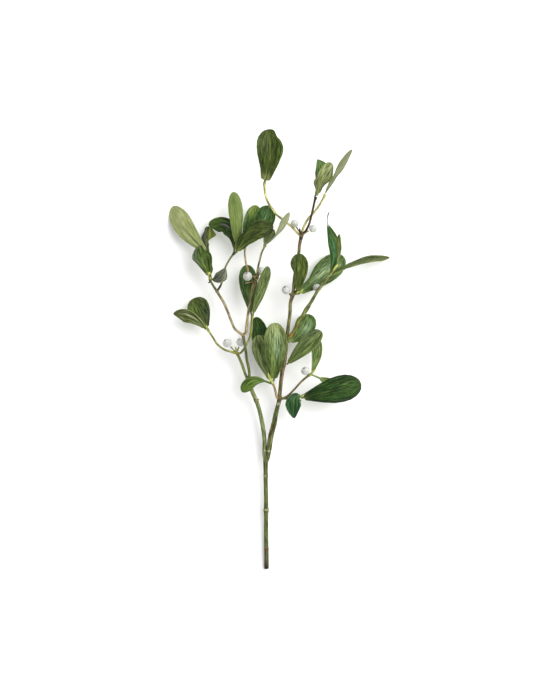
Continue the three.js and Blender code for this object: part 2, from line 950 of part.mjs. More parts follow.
// The frame: middle of the spray at the origin, resting on z = 0.
const bounds = new THREE.Box3().setFromObject(spray);
const middle = bounds.getCenter(new THREE.Vector3());
for (const mesh of spray.children) {
  mesh.geometry.translate(-middle.x, -middle.y, -bounds.min.z);
}

export default spray;
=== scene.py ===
import math

import bpy
import numpy as np
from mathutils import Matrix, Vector
from mathutils.kdtree import KDTree


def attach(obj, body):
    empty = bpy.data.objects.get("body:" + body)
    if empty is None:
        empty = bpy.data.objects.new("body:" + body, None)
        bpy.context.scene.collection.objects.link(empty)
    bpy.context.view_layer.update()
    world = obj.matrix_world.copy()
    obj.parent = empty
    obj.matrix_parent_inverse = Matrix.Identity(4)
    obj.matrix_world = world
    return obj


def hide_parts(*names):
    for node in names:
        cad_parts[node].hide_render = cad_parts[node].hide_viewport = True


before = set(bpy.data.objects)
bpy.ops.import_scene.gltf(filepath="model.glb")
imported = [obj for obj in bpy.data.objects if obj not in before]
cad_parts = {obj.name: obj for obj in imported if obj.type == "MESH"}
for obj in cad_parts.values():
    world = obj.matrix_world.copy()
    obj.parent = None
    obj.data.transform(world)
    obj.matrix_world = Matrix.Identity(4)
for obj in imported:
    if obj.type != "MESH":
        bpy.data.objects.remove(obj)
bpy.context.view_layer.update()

# ---------------------------------------------------------------------------------------------
# Main stem. One soft moulded stem, olive green, with a raised ring where each old pair of
# leaves sat and a dried dark end where it was cut. Every stem of the spray is made the same
# way: a tapered core along its centreline, skinned in one with its side twigs and buds.

FOOT = (13.557, 220.33, 0.0)


def colour(red, green, blue):
    """A paint given on the 0 to 255 scale, as linear light."""
    return tuple(((c / 255 + 0.055) / 1.055) ** 2.4 if c > 10 else c / 3295 for c in (red, green, blue))


def add_node(tree, kind, inputs=(), **settings):
    """A shader node with its settings, and its inputs set or linked by name or number."""
    node = tree.nodes.new(kind)
    for key, value in settings.items():
        setattr(node, key, value)
    for key, value in dict(inputs).items():
        if isinstance(value, bpy.types.NodeSocket):
            tree.links.new(value, node.inputs[key])
        else:
            node.inputs[key].default_value = value
    return node


def finish_material(name, build):
    """A new material whose Principled BSDF is set up by build(tree, shader)."""
    material = bpy.data.materials.new(name)
    material.use_nodes = True
    tree = material.node_tree
    build(tree, tree.nodes["Principled BSDF"])
    return material


def effect_group(name, inputs, outputs):
    """An empty shader node group with named sockets, and its two end nodes."""
    tree = bpy.data.node_groups.new(name, "ShaderNodeTree")
    for label, kind in inputs:
        tree.interface.new_socket(label, in_out="INPUT", socket_type=kind)
    for label, kind in outputs:
        tree.interface.new_socket(label, in_out="OUTPUT", socket_type=kind)
    return tree, tree.nodes.new("NodeGroupInput"), tree.nodes.new("NodeGroupOutput")


# Bark: streaks and ridges that run along the twig, weathered blotches, and painted shade
# that darkens the flanks where the surface turns away from the sky.
bark_grain_and_shade, start, end = effect_group(
    "bark_grain_and_shade",
    [("Paint", "NodeSocketColor"), ("Grain", "NodeSocketVector"), ("Streaks", "NodeSocketFloat")],
    [("Paint", "NodeSocketColor"), ("Height", "NodeSocketFloat"), ("Roughness", "NodeSocketFloat")],
)
stretched = add_node(
    bark_grain_and_shade, "ShaderNodeMapping",
    {"Vector": start.outputs["Grain"], "Scale": (0.95, 0.95, 0.12)},
)
streaks = add_node(
    bark_grain_and_shade, "ShaderNodeTexNoise",
    {"Vector": stretched.outputs[0], "Scale": 1, "Detail": 3, "Roughness": 0.6},
)
patches = add_node(
    bark_grain_and_shade, "ShaderNodeTexNoise", {"Vector": start.outputs["Grain"], "Scale": 0.2, "Detail": 2},
)
crust = add_node(
    bark_grain_and_shade, "ShaderNodeTexNoise",
    {"Vector": start.outputs["Grain"], "Scale": 1.1, "Detail": 3, "Roughness": 0.65},
)
streak_share = add_node(
    bark_grain_and_shade, "ShaderNodeMapRange",
    {"Value": streaks.outputs[0], "From Min": 0.4, "From Max": 0.62},
)
patch_share = add_node(
    bark_grain_and_shade, "ShaderNodeMapRange",
    {"Value": patches.outputs[0], "From Min": 0.4, "From Max": 0.64, "To Max": 0.6},
)
crust_share = add_node(
    bark_grain_and_shade, "ShaderNodeMapRange",
    {"Value": crust.outputs[0], "From Min": 0.55, "From Max": 0.7, "To Max": 0.55},
)
streak_tone = add_node(
    bark_grain_and_shade, "ShaderNodeMix",
    {0: streak_share.outputs[0], 6: (0.3, 0.28, 0.21, 1), 7: (2, 1.9, 1.75, 1)}, data_type="RGBA",
)
streaked = add_node(
    bark_grain_and_shade, "ShaderNodeMix",
    {0: start.outputs["Streaks"], 6: start.outputs["Paint"], 7: streak_tone.outputs[2]},
    data_type="RGBA", blend_type="MULTIPLY",
)
weathered = add_node(
    bark_grain_and_shade, "ShaderNodeMix",
    {0: patch_share.outputs[0], 6: streaked.outputs[2], 7: (0.78, 0.7, 0.6, 1)}, data_type="RGBA",
    blend_type="MULTIPLY",
)
crusted = add_node(
    bark_grain_and_shade, "ShaderNodeMix",
    {0: crust_share.outputs[0], 6: weathered.outputs[2], 7: (0.4, 0.36, 0.3, 1)}, data_type="RGBA",
    blend_type="MULTIPLY",
)
# Painted shade: the paint darkens where the surface faces sideways or down, as if lit from above.
skin = add_node(bark_grain_and_shade, "ShaderNodeNewGeometry")
skyward = add_node(bark_grain_and_shade, "ShaderNodeSeparateXYZ", {"Vector": skin.outputs["Normal"]})
flank_shade_share = add_node(
    bark_grain_and_shade, "ShaderNodeMapRange",
    {"Value": skyward.outputs["Z"], "From Min": 0.15, "From Max": 0.75, "To Min": 0.8, "To Max": 0},
)
flank_shaded = add_node(
    bark_grain_and_shade, "ShaderNodeMix",
    {0: flank_shade_share.outputs[0], 6: crusted.outputs[2], 7: (0.42, 0.36, 0.3, 1)}, data_type="RGBA",
    blend_type="MULTIPLY",
)
relief = add_node(
    bark_grain_and_shade, "ShaderNodeMath", {0: streaks.outputs[0], 1: crust.outputs[0]}, operation="ADD"
)
dullness = add_node(
    bark_grain_and_shade, "ShaderNodeMapRange", {"Value": streaks.outputs[0], "To Min": 0.45, "To Max": 0.65},
)
bark_grain_and_shade.links.new(flank_shaded.outputs[2], end.inputs["Paint"])
bark_grain_and_shade.links.new(relief.outputs[0], end.inputs["Height"])
bark_grain_and_shade.links.new(dullness.outputs[0], end.inputs["Roughness"])


def bark_material(name, streak_depth, bump):
    """Bark in the paint each stem carries, with its streaks, relief and painted flank shade."""

    def build(tree, shader):
        paint = add_node(tree, "ShaderNodeAttribute", attribute_name="bark")
        grain = add_node(tree, "ShaderNodeAttribute", attribute_name="grain")
        group = add_node(tree, "ShaderNodeGroup", node_tree=bark_grain_and_shade)
        tree.links.new(paint.outputs["Color"], group.inputs["Paint"])
        tree.links.new(grain.outputs["Vector"], group.inputs["Grain"])
        group.inputs["Streaks"].default_value = streak_depth
        relief = add_node(
            tree, "ShaderNodeBump",
            {"Height": group.outputs["Height"], "Strength": bump, "Distance": 0.0008},
        )
        tree.links.new(group.outputs["Paint"], shader.inputs["Base Color"])
        tree.links.new(group.outputs["Roughness"], shader.inputs["Roughness"])
        tree.links.new(relief.outputs[0], shader.inputs["Normal"])
        shader.inputs["Specular IOR Level"].default_value = 0.15

    return finish_material(name, build)


BARK = {
    "olive": (80, 92, 50), "green": (104, 114, 58), "lime": (132, 138, 70), "khaki": (114, 114, 72),
    "brown": (106, 101, 68), "dark": (64, 52, 40), "tan": (142, 128, 94), "cream": (164, 166, 112),
    "bud": (160, 178, 94), "rust": (86, 48, 32), "black": (30, 24, 20), "glue": (196, 192, 176),
    "moss": (54, 62, 32), "mauve": (104, 84, 74), "amber": (170, 120, 40), "sage": (104, 118, 74),
    "taupe": (140, 132, 100),
}


def run_samples(points):
    """The centreline of a run every half millimetre: places, half widths and directions."""
    points = np.array(points, float)
    place, width = points[:, :3], points[:, 3]
    at = np.concatenate([[0], np.cumsum(np.linalg.norm(np.diff(place, axis=0), axis=1))])
    fine = np.linspace(0, at[-1], max(3, int(at[-1] / 0.5) + 1))
    pull = np.gradient(place, at, axis=0)
    i = np.clip(np.searchsorted(at, fine, side="right") - 1, 0, len(at) - 2)
    step = (at[i + 1] - at[i])[:, None]
    t = (fine - at[i])[:, None] / step
    path = (
        (2 * t**3 - 3 * t**2 + 1) * place[i]
        + (t**3 - 2 * t**2 + t) * step * pull[i]
        + (3 * t**2 - 2 * t**3) * place[i + 1]
        + (t**3 - t**2) * step * pull[i + 1]
    )
    along = np.gradient(path, axis=0)
    along /= np.linalg.norm(along, axis=1)[:, None]
    return path, np.interp(fine, at, width) / 2, along, fine


def stem_piece(name, runs, finish, marks=(), voxel=0.28, socket=1):
    """One stem from its runs of [x, y, z, diameter], in one skin; socket is how deep it plugs in."""
    bpy.ops.object.select_all(action="DESELECT")
    bpy.ops.curve.primitive_nurbs_path_add()
    core = bpy.context.object
    core.data.splines.clear()
    core.data.bevel_depth = 0.001
    core.data.bevel_resolution = 6
    core.data.use_fill_caps = True
    samples = []
    for number, (bark, points) in enumerate(runs):
        path, half, along, distance = run_samples(points)
        if number == 0:
            path[0] -= socket * along[0]
        line = core.data.splines.new("POLY")
        line.points.add(len(path) - 1)
        metres = (path - FOOT) / 1000
        line.points.foreach_set("co", np.c_[metres, np.ones(len(path))].ravel())
        line.points.foreach_set("radius", half)
        side = np.cross(along, (0, 0, 1))
        side /= np.maximum(np.linalg.norm(side, axis=1), 1e-6)[:, None]
        paint = np.tile(colour(*BARK[bark]), (len(path), 1))
        samples.append((path, along, side, np.cross(side, along), distance + 40 * number, paint))
    bpy.ops.object.convert(target="MESH")
    stem = bpy.context.object
    stem.name = stem.data.name = name + "_bark"
    skin = stem.modifiers.new("skin", "REMESH")
    skin.mode = "VOXEL"
    skin.voxel_size = voxel / 1000
    bpy.ops.object.modifier_apply(modifier="skin")
    ease = stem.modifiers.new("ease", "SMOOTH")
    ease.factor = 0.5
    ease.iterations = 3
    bpy.ops.object.modifier_apply(modifier="ease")

    path, along, side, top, distance, paint = (np.concatenate(part) for part in zip(*samples))
    tree = KDTree(len(path))
    for i, point in enumerate(path):
        tree.insert(point, i)
    tree.balance()
    mesh = stem.data
    place = np.empty(len(mesh.vertices) * 3)
    mesh.vertices.foreach_get("co", place)
    place = place.reshape(-1, 3) * 1000 + FOOT
    near = np.array([[hit[1] for hit in tree.find_n(point, 5)] for point in place])
    first = near[:, 0]
    offset = place - path[first]
    across = (offset * side[first]).sum(1)
    up = (offset * top[first]).sum(1)
    grain = np.c_[across, up, distance[first]]
    tint = paint[near].mean(axis=1)
    for centre, reach, mark, strength in marks:
        share = strength * np.exp(-(((place - centre) / reach) ** 2).sum(1))[:, None]
        tint = tint * (1 - share) + np.array(colour(*BARK[mark])) * share
    angle = np.arctan2(up, across)
    ridge = np.sin(5 * angle + 0.12 * distance[first]) + 0.7 * np.sin(
        9 * angle - 0.07 * distance[first],
    )
    normal = np.empty(len(mesh.vertices) * 3)
    mesh.vertices.foreach_get("normal", normal)
    raised = place - FOOT + normal.reshape(-1, 3) * (0.016 * np.hypot(across, up) * ridge)[:, None]
    raised[:, 2] = np.maximum(raised[:, 2], 0)
    mesh.vertices.foreach_set("co", (raised / 1000).ravel())
    mesh.attributes.new("grain", "FLOAT_VECTOR", "POINT").data.foreach_set("vector", grain.ravel())
    mesh.attributes.new("bark", "FLOAT_COLOR", "POINT").data.foreach_set(
        "color", np.c_[tint, np.ones(len(tint))].ravel()
    )
    mesh.materials.clear()
    mesh.materials.append(finish)
    bpy.ops.object.shade_smooth()
    mesh.update()
    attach(stem, "root")
    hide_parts(name)
    return stem


smooth_bark = bark_material("smooth_green_bark", 0.7, 0.6)
rough_bark = bark_material("rough_twig_bark", 0.9, 0.9)

stem_piece(
    "main_stem",
    [
        ("olive", [
            [0.4, 0, 2.3, 4.6], [0.35, 12, 2.9, 4.5], [0.3, 18.5, 3.3, 4.5], [0.25, 20.2, 3.4, 4.9],
            [0.2, 22, 3.5, 4.5], [0, 40, 4.5, 4.4], [0, 56.5, 5.4, 4.6], [0, 59, 5.5, 6],
            [0, 61.5, 5.6, 4.6], [-0.2, 78, 6.5, 4.4], [-0.4, 92, 7.3, 4.5], [-0.4, 94.5, 7.4, 4.9],
            [-0.4, 97, 7.6, 4.4], [-0.6, 109, 8.3, 5], [-0.7, 111.5, 8.5, 5],
        ]),
    ],
    smooth_bark,
    marks=[
        ((0.4, 4, 2.5), (6, 7.5, 6), "dark", 1), ((0.4, -0.5, 2.3), (6, 4, 6), "black", 1),
        ((0.3, 19.6, 3.4), (6, 1.7, 6), "rust", 0.95), ((0.3, 16, 3.2), (6, 2.5, 6), "dark", 0.4),
        ((0, 59.3, 5.5), (6, 0.9, 6), "cream", 0.9), ((0, 57.3, 5.4), (6, 0.9, 6), "dark", 0.7),
        ((0, 61.6, 5.6), (6, 0.9, 6), "dark", 0.5), ((-2.6, 93.6, 7.4), (2.2, 1, 6), "cream", 0.8),
        ((-0.4, 95.6, 7.4), (6, 0.9, 6), "dark", 0.6), ((-0.4, 106, 8), (6, 7, 6), "moss", 0.55),
    ],
    socket=0,
)

# ---------------------------------------------------------------------------------------------
# Left branch. It carries on from the main stem with a butt joint, in the same olive bark, and
# forks at its head into the stubs that the two left sprigs are plugged on.

stem_piece(
    "left_branch",
    [
        ("sage", [
            [-0.72, 109.55, 8.4, 4.9], [-1.5, 116, 8.9, 4.6], [-1.6, 129, 10, 4.2],
            [-3.4, 144, 11.3, 4.2], [-5.5, 154.5, 12.3, 4.1], [-9, 166.8, 13.5, 4.1],
            [-10, 169.5, 13.8, 4.9], [-11.2, 172.2, 14.1, 4.1], [-14, 178.5, 15, 4],
            [-17, 187.5, 16.3, 4.2],
        ]),
        ("sage", [[-16.4, 185.5, 16, 3.4], [-19.4, 192.5, 17, 3], [-21.4, 197.5, 17.2, 2.8]]),
        ("sage", [[-16.4, 185.5, 16, 3.4], [-16.7, 192.5, 17.8, 3], [-16.8, 197.3, 18.9, 2.8]]),
        ("tan", [[-10, 169.5, 13.8, 2], [-7, 170.7, 14.3, 1.1]]),
    ],
    smooth_bark,
    marks=[
        ((-3.2, 113, 9), (1, 4, 4), "glue", 0.8), ((-1, 119, 10.6), (1, 0.8, 3), "glue", 0.6),
        ((-0.6, 114, 9), (1.6, 6, 5), "moss", 0.6), ((-11.6, 172, 14.1), (6, 1, 6), "cream", 0.6),
        ((-10, 168.6, 13.8), (6, 1.2, 6), "dark", 0.5), ((-18, 189, 17), (4, 5, 5), "khaki", 0.7),
        ((-19, 186, 16.3), (1.6, 6, 5), "moss", 0.7),
    ],
)

# ---------------------------------------------------------------------------------------------
# Left berry sprig. A light green sprig that splits into two thin arms below the left leaves,
# with two berry stalks and a pointed bud in the fork. Each arm ends in a swollen leaf joint.

stem_piece(
    "left_berry_sprig",
    [
        ("green", [
            [-21.5, 197.85, 17.2, 2.8], [-23.5, 204, 17.5, 2.8], [-27.5, 213.5, 18, 2.8],
            [-29.6, 217.6, 18, 3.3],
        ]),
        ("lime", [
            [-29, 216.8, 18, 2.8], [-35, 218.2, 18.5, 2.2], [-41, 220, 18.7, 2.2],
            [-49, 226, 18.6, 2.2], [-53.5, 233, 18.4, 2.2], [-57, 238.3, 18.3, 2.2],
            [-57.9, 239.7, 18.2, 3.1], [-58.7, 240.9, 18.2, 3.4],
        ]),
        ("lime", [
            [-29, 216.8, 17.8, 2.8], [-26, 216.9, 17, 2.2], [-23, 220, 17, 2.2],
            [-19, 226.5, 19.5, 2.2], [-16, 233.5, 22, 2.2], [-15, 237.5, 23.4, 2.2],
            [-14.2, 250, 28, 2.2], [-13.9, 253.3, 29, 3.1], [-13.7, 255.2, 29.6, 3.4],
        ]),
        ("lime", [[-29.8, 217, 18, 1.9], [-32.5, 220, 18.7, 1.3], [-35.6, 223.4, 19.4, 1.6]]),
        ("lime", [[-29.4, 217, 18, 1.9], [-28.6, 219.4, 18.5, 1.3], [-27.1, 223.4, 19.2, 1.6]]),
        ("bud", [[-29.8, 218, 18.4, 1.6], [-30.2, 221, 19.2, 2.1], [-30.4, 223.6, 19.8, 0.7]]),
        ("bud", [[-58.5, 240.5, 19.2, 2], [-59, 242.4, 23, 2.4], [-60.2, 245, 25.4, 0.8]]),
    ],
    smooth_bark,
    marks=[
        ((-29.6, 217.4, 18), (2.5, 2.5, 3), "brown", 0.45),
        ((-35.4, 223.2, 19.4), (1.2, 1.2, 2), "brown", 0.6),
        ((-27.1, 223.2, 19.2), (1.2, 1.2, 2), "brown", 0.6),
    ],
)

# ---------------------------------------------------------------------------------------------
# Left upper sprig. A brown twig that forks twice: the left arm ends in two thin leaf stalks,
# and the right arm in two long stalks with a pair of berries and a bud in the fork.

stem_piece(
    "left_upper_sprig",
    [
        ("olive", [
            [-16.8, 197.8, 19.05, 2.8], [-17.6, 203, 20.4, 2.8], [-19, 209, 22, 2.8],
            [-20.6, 221.6, 25, 2.8], [-22, 230.3, 26.5, 2.9], [-23, 235.8, 27, 3.8],
        ]),
        ("taupe", [
            [-22.6, 234.6, 27, 3], [-27, 237.6, 27, 2.6], [-31, 241, 26.6, 2.6],
            [-34.4, 248, 26, 2.6], [-38, 257.5, 25.2, 2.6], [-42.3, 267.3, 24, 2.6],
            [-47.2, 275.5, 22.6, 2.7], [-49.7, 279.8, 22, 3.3],
        ]),
        ("olive", [
            [-49.2, 278.8, 22, 2.6], [-52.5, 283.8, 20.8, 2.2], [-55.4, 288.8, 19.3, 2.3],
            [-56.1, 290.3, 18.7, 3.3], [-56.5, 292, 17.9, 2.2], [-57.6, 303, 13.4, 2.1],
            [-58.7, 312, 9.6, 2.1], [-59, 315.4, 8.9, 2.8], [-59.2, 317.2, 8.5, 3],
        ]),
        ("olive", [
            [-49.2, 278.8, 22, 2.6], [-45.4, 284.7, 20, 2.1], [-43.3, 292, 18.4, 2],
            [-40.8, 302.6, 17, 2], [-37.2, 309.7, 17, 2], [-33.6, 315, 17.8, 2],
            [-32.2, 316.7, 18.1, 3], [-31.2, 318.1, 18.4, 3.3],
        ]),
        ("taupe", [
            [-22.8, 234.8, 27, 3.2], [-20.6, 236.8, 27.6, 3], [-19.6, 242.6, 28.4, 2.9],
            [-18, 255, 29.2, 2.9], [-16.5, 264, 29.6, 2.9], [-15, 274, 30, 3],
            [-13.4, 281.6, 30.3, 3.1], [-11, 287.4, 30.8, 3.7], [-8.7, 293.2, 31.2, 4.1],
        ]),
        ("taupe", [
            [-9, 292.4, 31.2, 2.8], [-14.6, 293.8, 31.4, 2.2], [-18.2, 300, 30.6, 2.5],
            [-18.9, 301.8, 29.8, 3.1], [-19.4, 303.6, 28.9, 2], [-20.8, 312, 24, 1.9],
            [-21.4, 320, 18.6, 1.9], [-21.3, 322.8, 16.9, 2.9], [-21.2, 324.6, 15.9, 3.2],
        ]),
        ("khaki", [
            [-9, 292.4, 31.2, 2.8], [-8.3, 300.5, 31.2, 2.1], [-6.3, 309.7, 30.6, 2],
            [-4.3, 317.3, 29.4, 2], [-2.2, 321.9, 28.4, 2], [-1.5, 323.6, 28, 3],
            [-1, 325.1, 27.7, 3.3],
        ]),
        ("tan", [[-10.4, 288.5, 31.2, 2.2], [-16, 287.6, 32.4, 1.4], [-20.8, 286.8, 33, 1.6]]),
        ("tan", [[-9.4, 290.6, 32, 1.9], [-11.6, 292.4, 34.2, 2.3], [-12.4, 293.6, 35.6, 0.8]]),
        ("dark", [[-9.6, 291.6, 32, 1.9], [-13.9, 292.4, 33.9, 1.5]]),
        ("dark", [[-8.4, 292.6, 30.4, 1.9], [-6.9, 295.4, 28.5, 1.5]]),
        ("black", [[-55.2, 288.6, 19.4, 1.8], [-58, 287.2, 19, 1.2]]),
        ("bud", [
            [-55.2, 290, 19.4, 2], [-55.8, 292, 23, 3.4], [-56.6, 295.6, 24.6, 4],
            [-57, 298, 25.2, 1.2],
        ]),
    ],
    rough_bark,
    marks=[
        ((-53.6, 285.4, 20.6), (3, 4, 5), "lime", 0.8),
        ((-46.6, 282.6, 20.6), (2, 4, 4), "black", 0.8),
        ((-43.6, 291, 18.6), (2, 2.4, 4), "tan", 0.6), ((-38.2, 308, 17), (4, 7, 4), "taupe", 0.8),
        ((-33, 315.6, 18), (2, 1.6, 4), "dark", 0.6),
        ((-56.6, 296, 24.8), (2.6, 3, 3), "cream", 0.5),
        ((-49.6, 279.6, 22), (2, 2.5, 3), "black", 0.6),
        ((-9.5, 287.5, 31), (3, 1.6, 4), "mauve", 0.7),
        ((-9.8, 291.5, 32), (1.6, 0.9, 4), "black", 0.7),
        ((-10.6, 289.4, 32), (1.4, 0.7, 4), "rust", 0.7),
        ((-14.6, 276, 30), (2, 10, 5), "khaki", 0.8), ((-18.8, 300, 30.4), (2, 5, 4), "tan", 0.6),
        ((-23, 236.4, 27), (3, 1.2, 3), "tan", 0.8), ((-22.6, 233.6, 27), (3, 0.8, 3), "dark", 0.7),
        ((-22.3, 230.6, 26.6), (3, 1.6, 3), "mauve", 0.8),
        ((-18.8, 301.8, 29.8), (2, 1.5, 3), "dark", 0.5),
    ],
)

# ---------------------------------------------------------------------------------------------
# Right branch. The stoutest branch, plugged beside the left one and rising to the top fork,
# in brown-olive bark with a knot at every old leaf pair.

stem_piece(
    "right_branch",
    [
        ("olive", [
            [0.7, 107.5, 8.4, 2.6], [1.7, 111, 8.9, 3.6], [2.3, 116, 9.4, 4.6], [3, 121, 10, 5.4],
            [4.9, 134, 11.4, 5.5], [7.2, 143, 12.5, 5.2], [7.7, 145, 12.8, 5.7],
            [8.2, 147, 13.1, 5.1], [9.5, 154.5, 14, 4.9], [11.6, 163.6, 15.1, 4.2],
            [12.9, 168.5, 15.8, 4.4], [13.4, 171, 16.1, 5.2], [13.7, 174.5, 16.6, 4],
        ]),
        ("brown", [
            [13.5, 173, 16.4, 4], [15, 189.3, 18.3, 3.9], [16.4, 199.5, 19.6, 4.1],
            [17.2, 203.4, 20.1, 4.5], [17.6, 205.5, 20.4, 5], [18.1, 208, 20.7, 4.2],
            [18.6, 211, 21.1, 4.5], [19.2, 214.5, 21.5, 3.9], [20.5, 227.5, 22.9, 3.9],
            [20.8, 230, 23.2, 4.8], [21.1, 233, 23.5, 3.7], [22.3, 244.6, 24.9, 3.5],
            [23.8, 256, 26.2, 3.5], [24.8, 269, 27.4, 3.5], [26.3, 273.6, 27.9, 4],
            [26.9, 275.8, 28.1, 4.6], [27.2, 278.5, 28.3, 3.4], [27.7, 285, 28.6, 3.2],
            [29, 297, 29, 3.2], [32.8, 317.6, 29.7, 3.2], [33.8, 326.7, 30.2, 3.3],
            [34.6, 330.6, 30.5, 3.6],
        ]),
        ("dark", [[17.2, 205, 20.4, 2.2], [13.9, 205.4, 20.8, 1.4]]),
        ("olive", [[27, 275.8, 28.1, 2.9], [29.4, 276.2, 28.6, 2.4], [30.8, 276.6, 28.9, 3]]),
        ("moss", [[28, 276.6, 28.4, 3.4], [31, 278.2, 29.4, 4.6], [32.8, 279.8, 29.8, 4]]),
        ("brown", [[26.6, 275.2, 28.1, 2.2], [24.4, 275, 28.2, 1.8], [23.4, 276.7, 28.5, 1.8]]),
        ("bud", [[30.6, 276.2, 29.2, 2], [34.7, 277.9, 32.2, 2.4], [37.2, 281.2, 34, 0.8]]),
    ],
    rough_bark,
    marks=[
        ((19.5, 231.4, 23), (3, 1.1, 5), "black", 0.6), ((18.5, 212, 21), (3, 0.9, 5), "dark", 0.7),
        ((16.4, 195, 19), (3, 1.2, 5), "dark", 0.7), ((15.2, 203, 19), (1, 6, 5), "mauve", 0.7),
        ((23.8, 254, 25), (1, 24, 5), "olive", 0.75), ((3, 118.6, 11.6), (5, 0.8, 3), "glue", 0.75),
        ((1.6, 112, 9), (5, 5, 5), "moss", 0.5), ((5, 134, 12), (1.5, 16, 5), "khaki", 0.8),
        ((7, 141, 13), (1.4, 5, 5), "rust", 0.45), ((7.9, 146.5, 13), (5, 0.9, 5), "green", 0.8),
        ((7.5, 143.6, 12.8), (5, 0.8, 5), "dark", 0.5),
        ((12, 166.4, 15.6), (2, 1.6, 4), "glue", 0.9),
        ((13.4, 171.6, 16.4), (4, 2.6, 4), "tan", 0.8),
        ((13.6, 173.6, 16.4), (5, 0.7, 4), "dark", 0.6),
        ((14.8, 181, 17.5), (1.2, 9, 5), "olive", 0.8),
        ((17.2, 197, 19.5), (6, 9, 6), "mauve", 0.7),
        ((17.4, 203.5, 20.3), (5, 1.3, 5), "dark", 0.8),
        ((18.1, 208.6, 20.8), (5, 1.2, 5), "dark", 0.7),
        ((21, 230.4, 23.2), (4, 1.2, 4), "dark", 0.7),
        ((22.6, 252, 26), (1.3, 16, 5), "khaki", 0.6),
        ((26.6, 273.4, 28), (4, 1.1, 4), "rust", 0.6),
        ((26.9, 276.6, 28.1), (4, 1.1, 4), "khaki", 0.7),
        ((34, 327, 30.2), (4, 4, 4), "mauve", 0.8),
    ],
)

# ---------------------------------------------------------------------------------------------
# Low twigs. Two thin side twigs from the lowest knot of the right branch: the left one is a
# single tan stalk, the right one splits into a long arm and a short one, each with its bud.

stem_piece(
    "low_twig_left",
    [
        ("tan", [
            [13.2, 170.3, 16, 2.9], [11, 172.6, 16.8, 2.4], [9.6, 178, 17.2, 2.3],
            [7.7, 184.2, 17.7, 2.3], [6.7, 186.2, 17.9, 3.1], [6, 187.6, 18, 3.4],
        ]),
        ("bud", [
            [6, 187.2, 18.6, 2.4], [4.4, 190.8, 21.8, 3.3], [2.9, 194, 24, 2.9],
            [2, 197.4, 25, 0.8],
        ]),
    ],
    smooth_bark,
)

stem_piece(
    "low_twig_right",
    [
        ("brown", [
            [13.6, 170.6, 16, 2.9], [17, 171.6, 16.8, 2.5], [20, 173, 17.5, 2.2],
            [27.7, 180, 19, 2.2], [35.3, 188.3, 20.5, 2.2], [41, 193.2, 21.7, 2.4],
            [43.2, 194.7, 22.1, 3], [44.7, 195.5, 22.4, 3.2],
        ]),
        ("olive", [
            [17, 171.4, 16.6, 2.3], [25, 171.4, 17.8, 2.1], [31, 172, 18.8, 2.2],
            [32.6, 172.2, 19.1, 3], [33.8, 172.3, 19.3, 3.2],
        ]),
        ("brown", [[42, 193.6, 21.9, 1.9], [41.4, 195, 22.4, 1.5]]),
        ("bud", [[33, 172.3, 20, 2], [35.6, 174, 23.2, 2.5], [37.8, 176, 24.4, 0.8]]),
        ("bud", [[44, 195.2, 23.2, 2], [47.4, 198.6, 26, 2.5], [50.4, 202, 27.4, 0.8]]),
    ],
    rough_bark, marks=[((30, 182, 19.4), (9, 8, 3), "mauve", 0.45)],
)

# ---------------------------------------------------------------------------------------------
# Side branch. It leaves the right branch at a knot, light green at first and browner beyond
# its middle joint, and carries one berry stalk and the three right-hand leaves at its end.

stem_piece(
    "side_branch",
    [
        ("green", [
            [20.8, 230, 23.2, 3.4], [23.6, 233, 24, 3.6], [26.3, 235.8, 24.6, 4.7],
            [28, 238.8, 25.2, 4], [30.4, 243.6, 26, 3.9], [34.5, 250.7, 27.5, 3.8],
            [38.5, 257.5, 29, 3.9], [40.4, 260.6, 29.7, 4.6], [41.7, 262.4, 30, 4.2],
        ]),
        ("sage", [
            [41, 261.4, 29.8, 3.6], [42.6, 263.9, 30.3, 4.2], [44, 266.2, 30.8, 3.3],
            [46, 269.5, 31.4, 3.7], [48.4, 273.8, 32.1, 3.1], [51, 278.4, 32.8, 3.3],
            [57.3, 286.5, 32.8, 3.1], [62, 292.6, 31.8, 3.2], [63.6, 295, 31.3, 3.4],
            [64.6, 297, 30.9, 3.7],
        ]),
        ("brown", [[49.6, 276, 32.2, 2], [50, 278, 30.2, 1.4], [50.3, 279.8, 28, 1.5]]),
        ("bud", [
            [64.2, 296, 32.2, 2.4], [67.2, 299.8, 36.4, 2.4], [69.6, 302.8, 37.8, 2.8],
            [71, 304.4, 38.4, 3.2], [72, 305.6, 38.6, 1],
        ]),
    ],
    rough_bark,
    marks=[
        ((25.6, 235, 24.6), (1.6, 2, 4), "amber", 0.9),
        ((27.6, 236.4, 24.8), (1.6, 1.8, 4), "rust", 0.7),
        ((31, 245, 27), (1.6, 9, 5), "lime", 0.45), ((42, 262.6, 30.2), (3, 1.6, 4), "dark", 0.8),
        ((45, 268.4, 31), (1.6, 2.6, 5), "cream", 0.7), ((43.4, 266, 31), (1, 1.4, 5), "moss", 0.8),
        ((53, 281, 32.6), (3, 3, 5), "khaki", 0.9), ((60, 290, 32.6), (4, 4, 5), "brown", 0.9),
        ((66.2, 298.6, 34.8), (2.6, 1.6, 3), "black", 0.75),
        ((70.8, 304.2, 38.2), (2.6, 2, 3), "cream", 0.8),
    ],
)
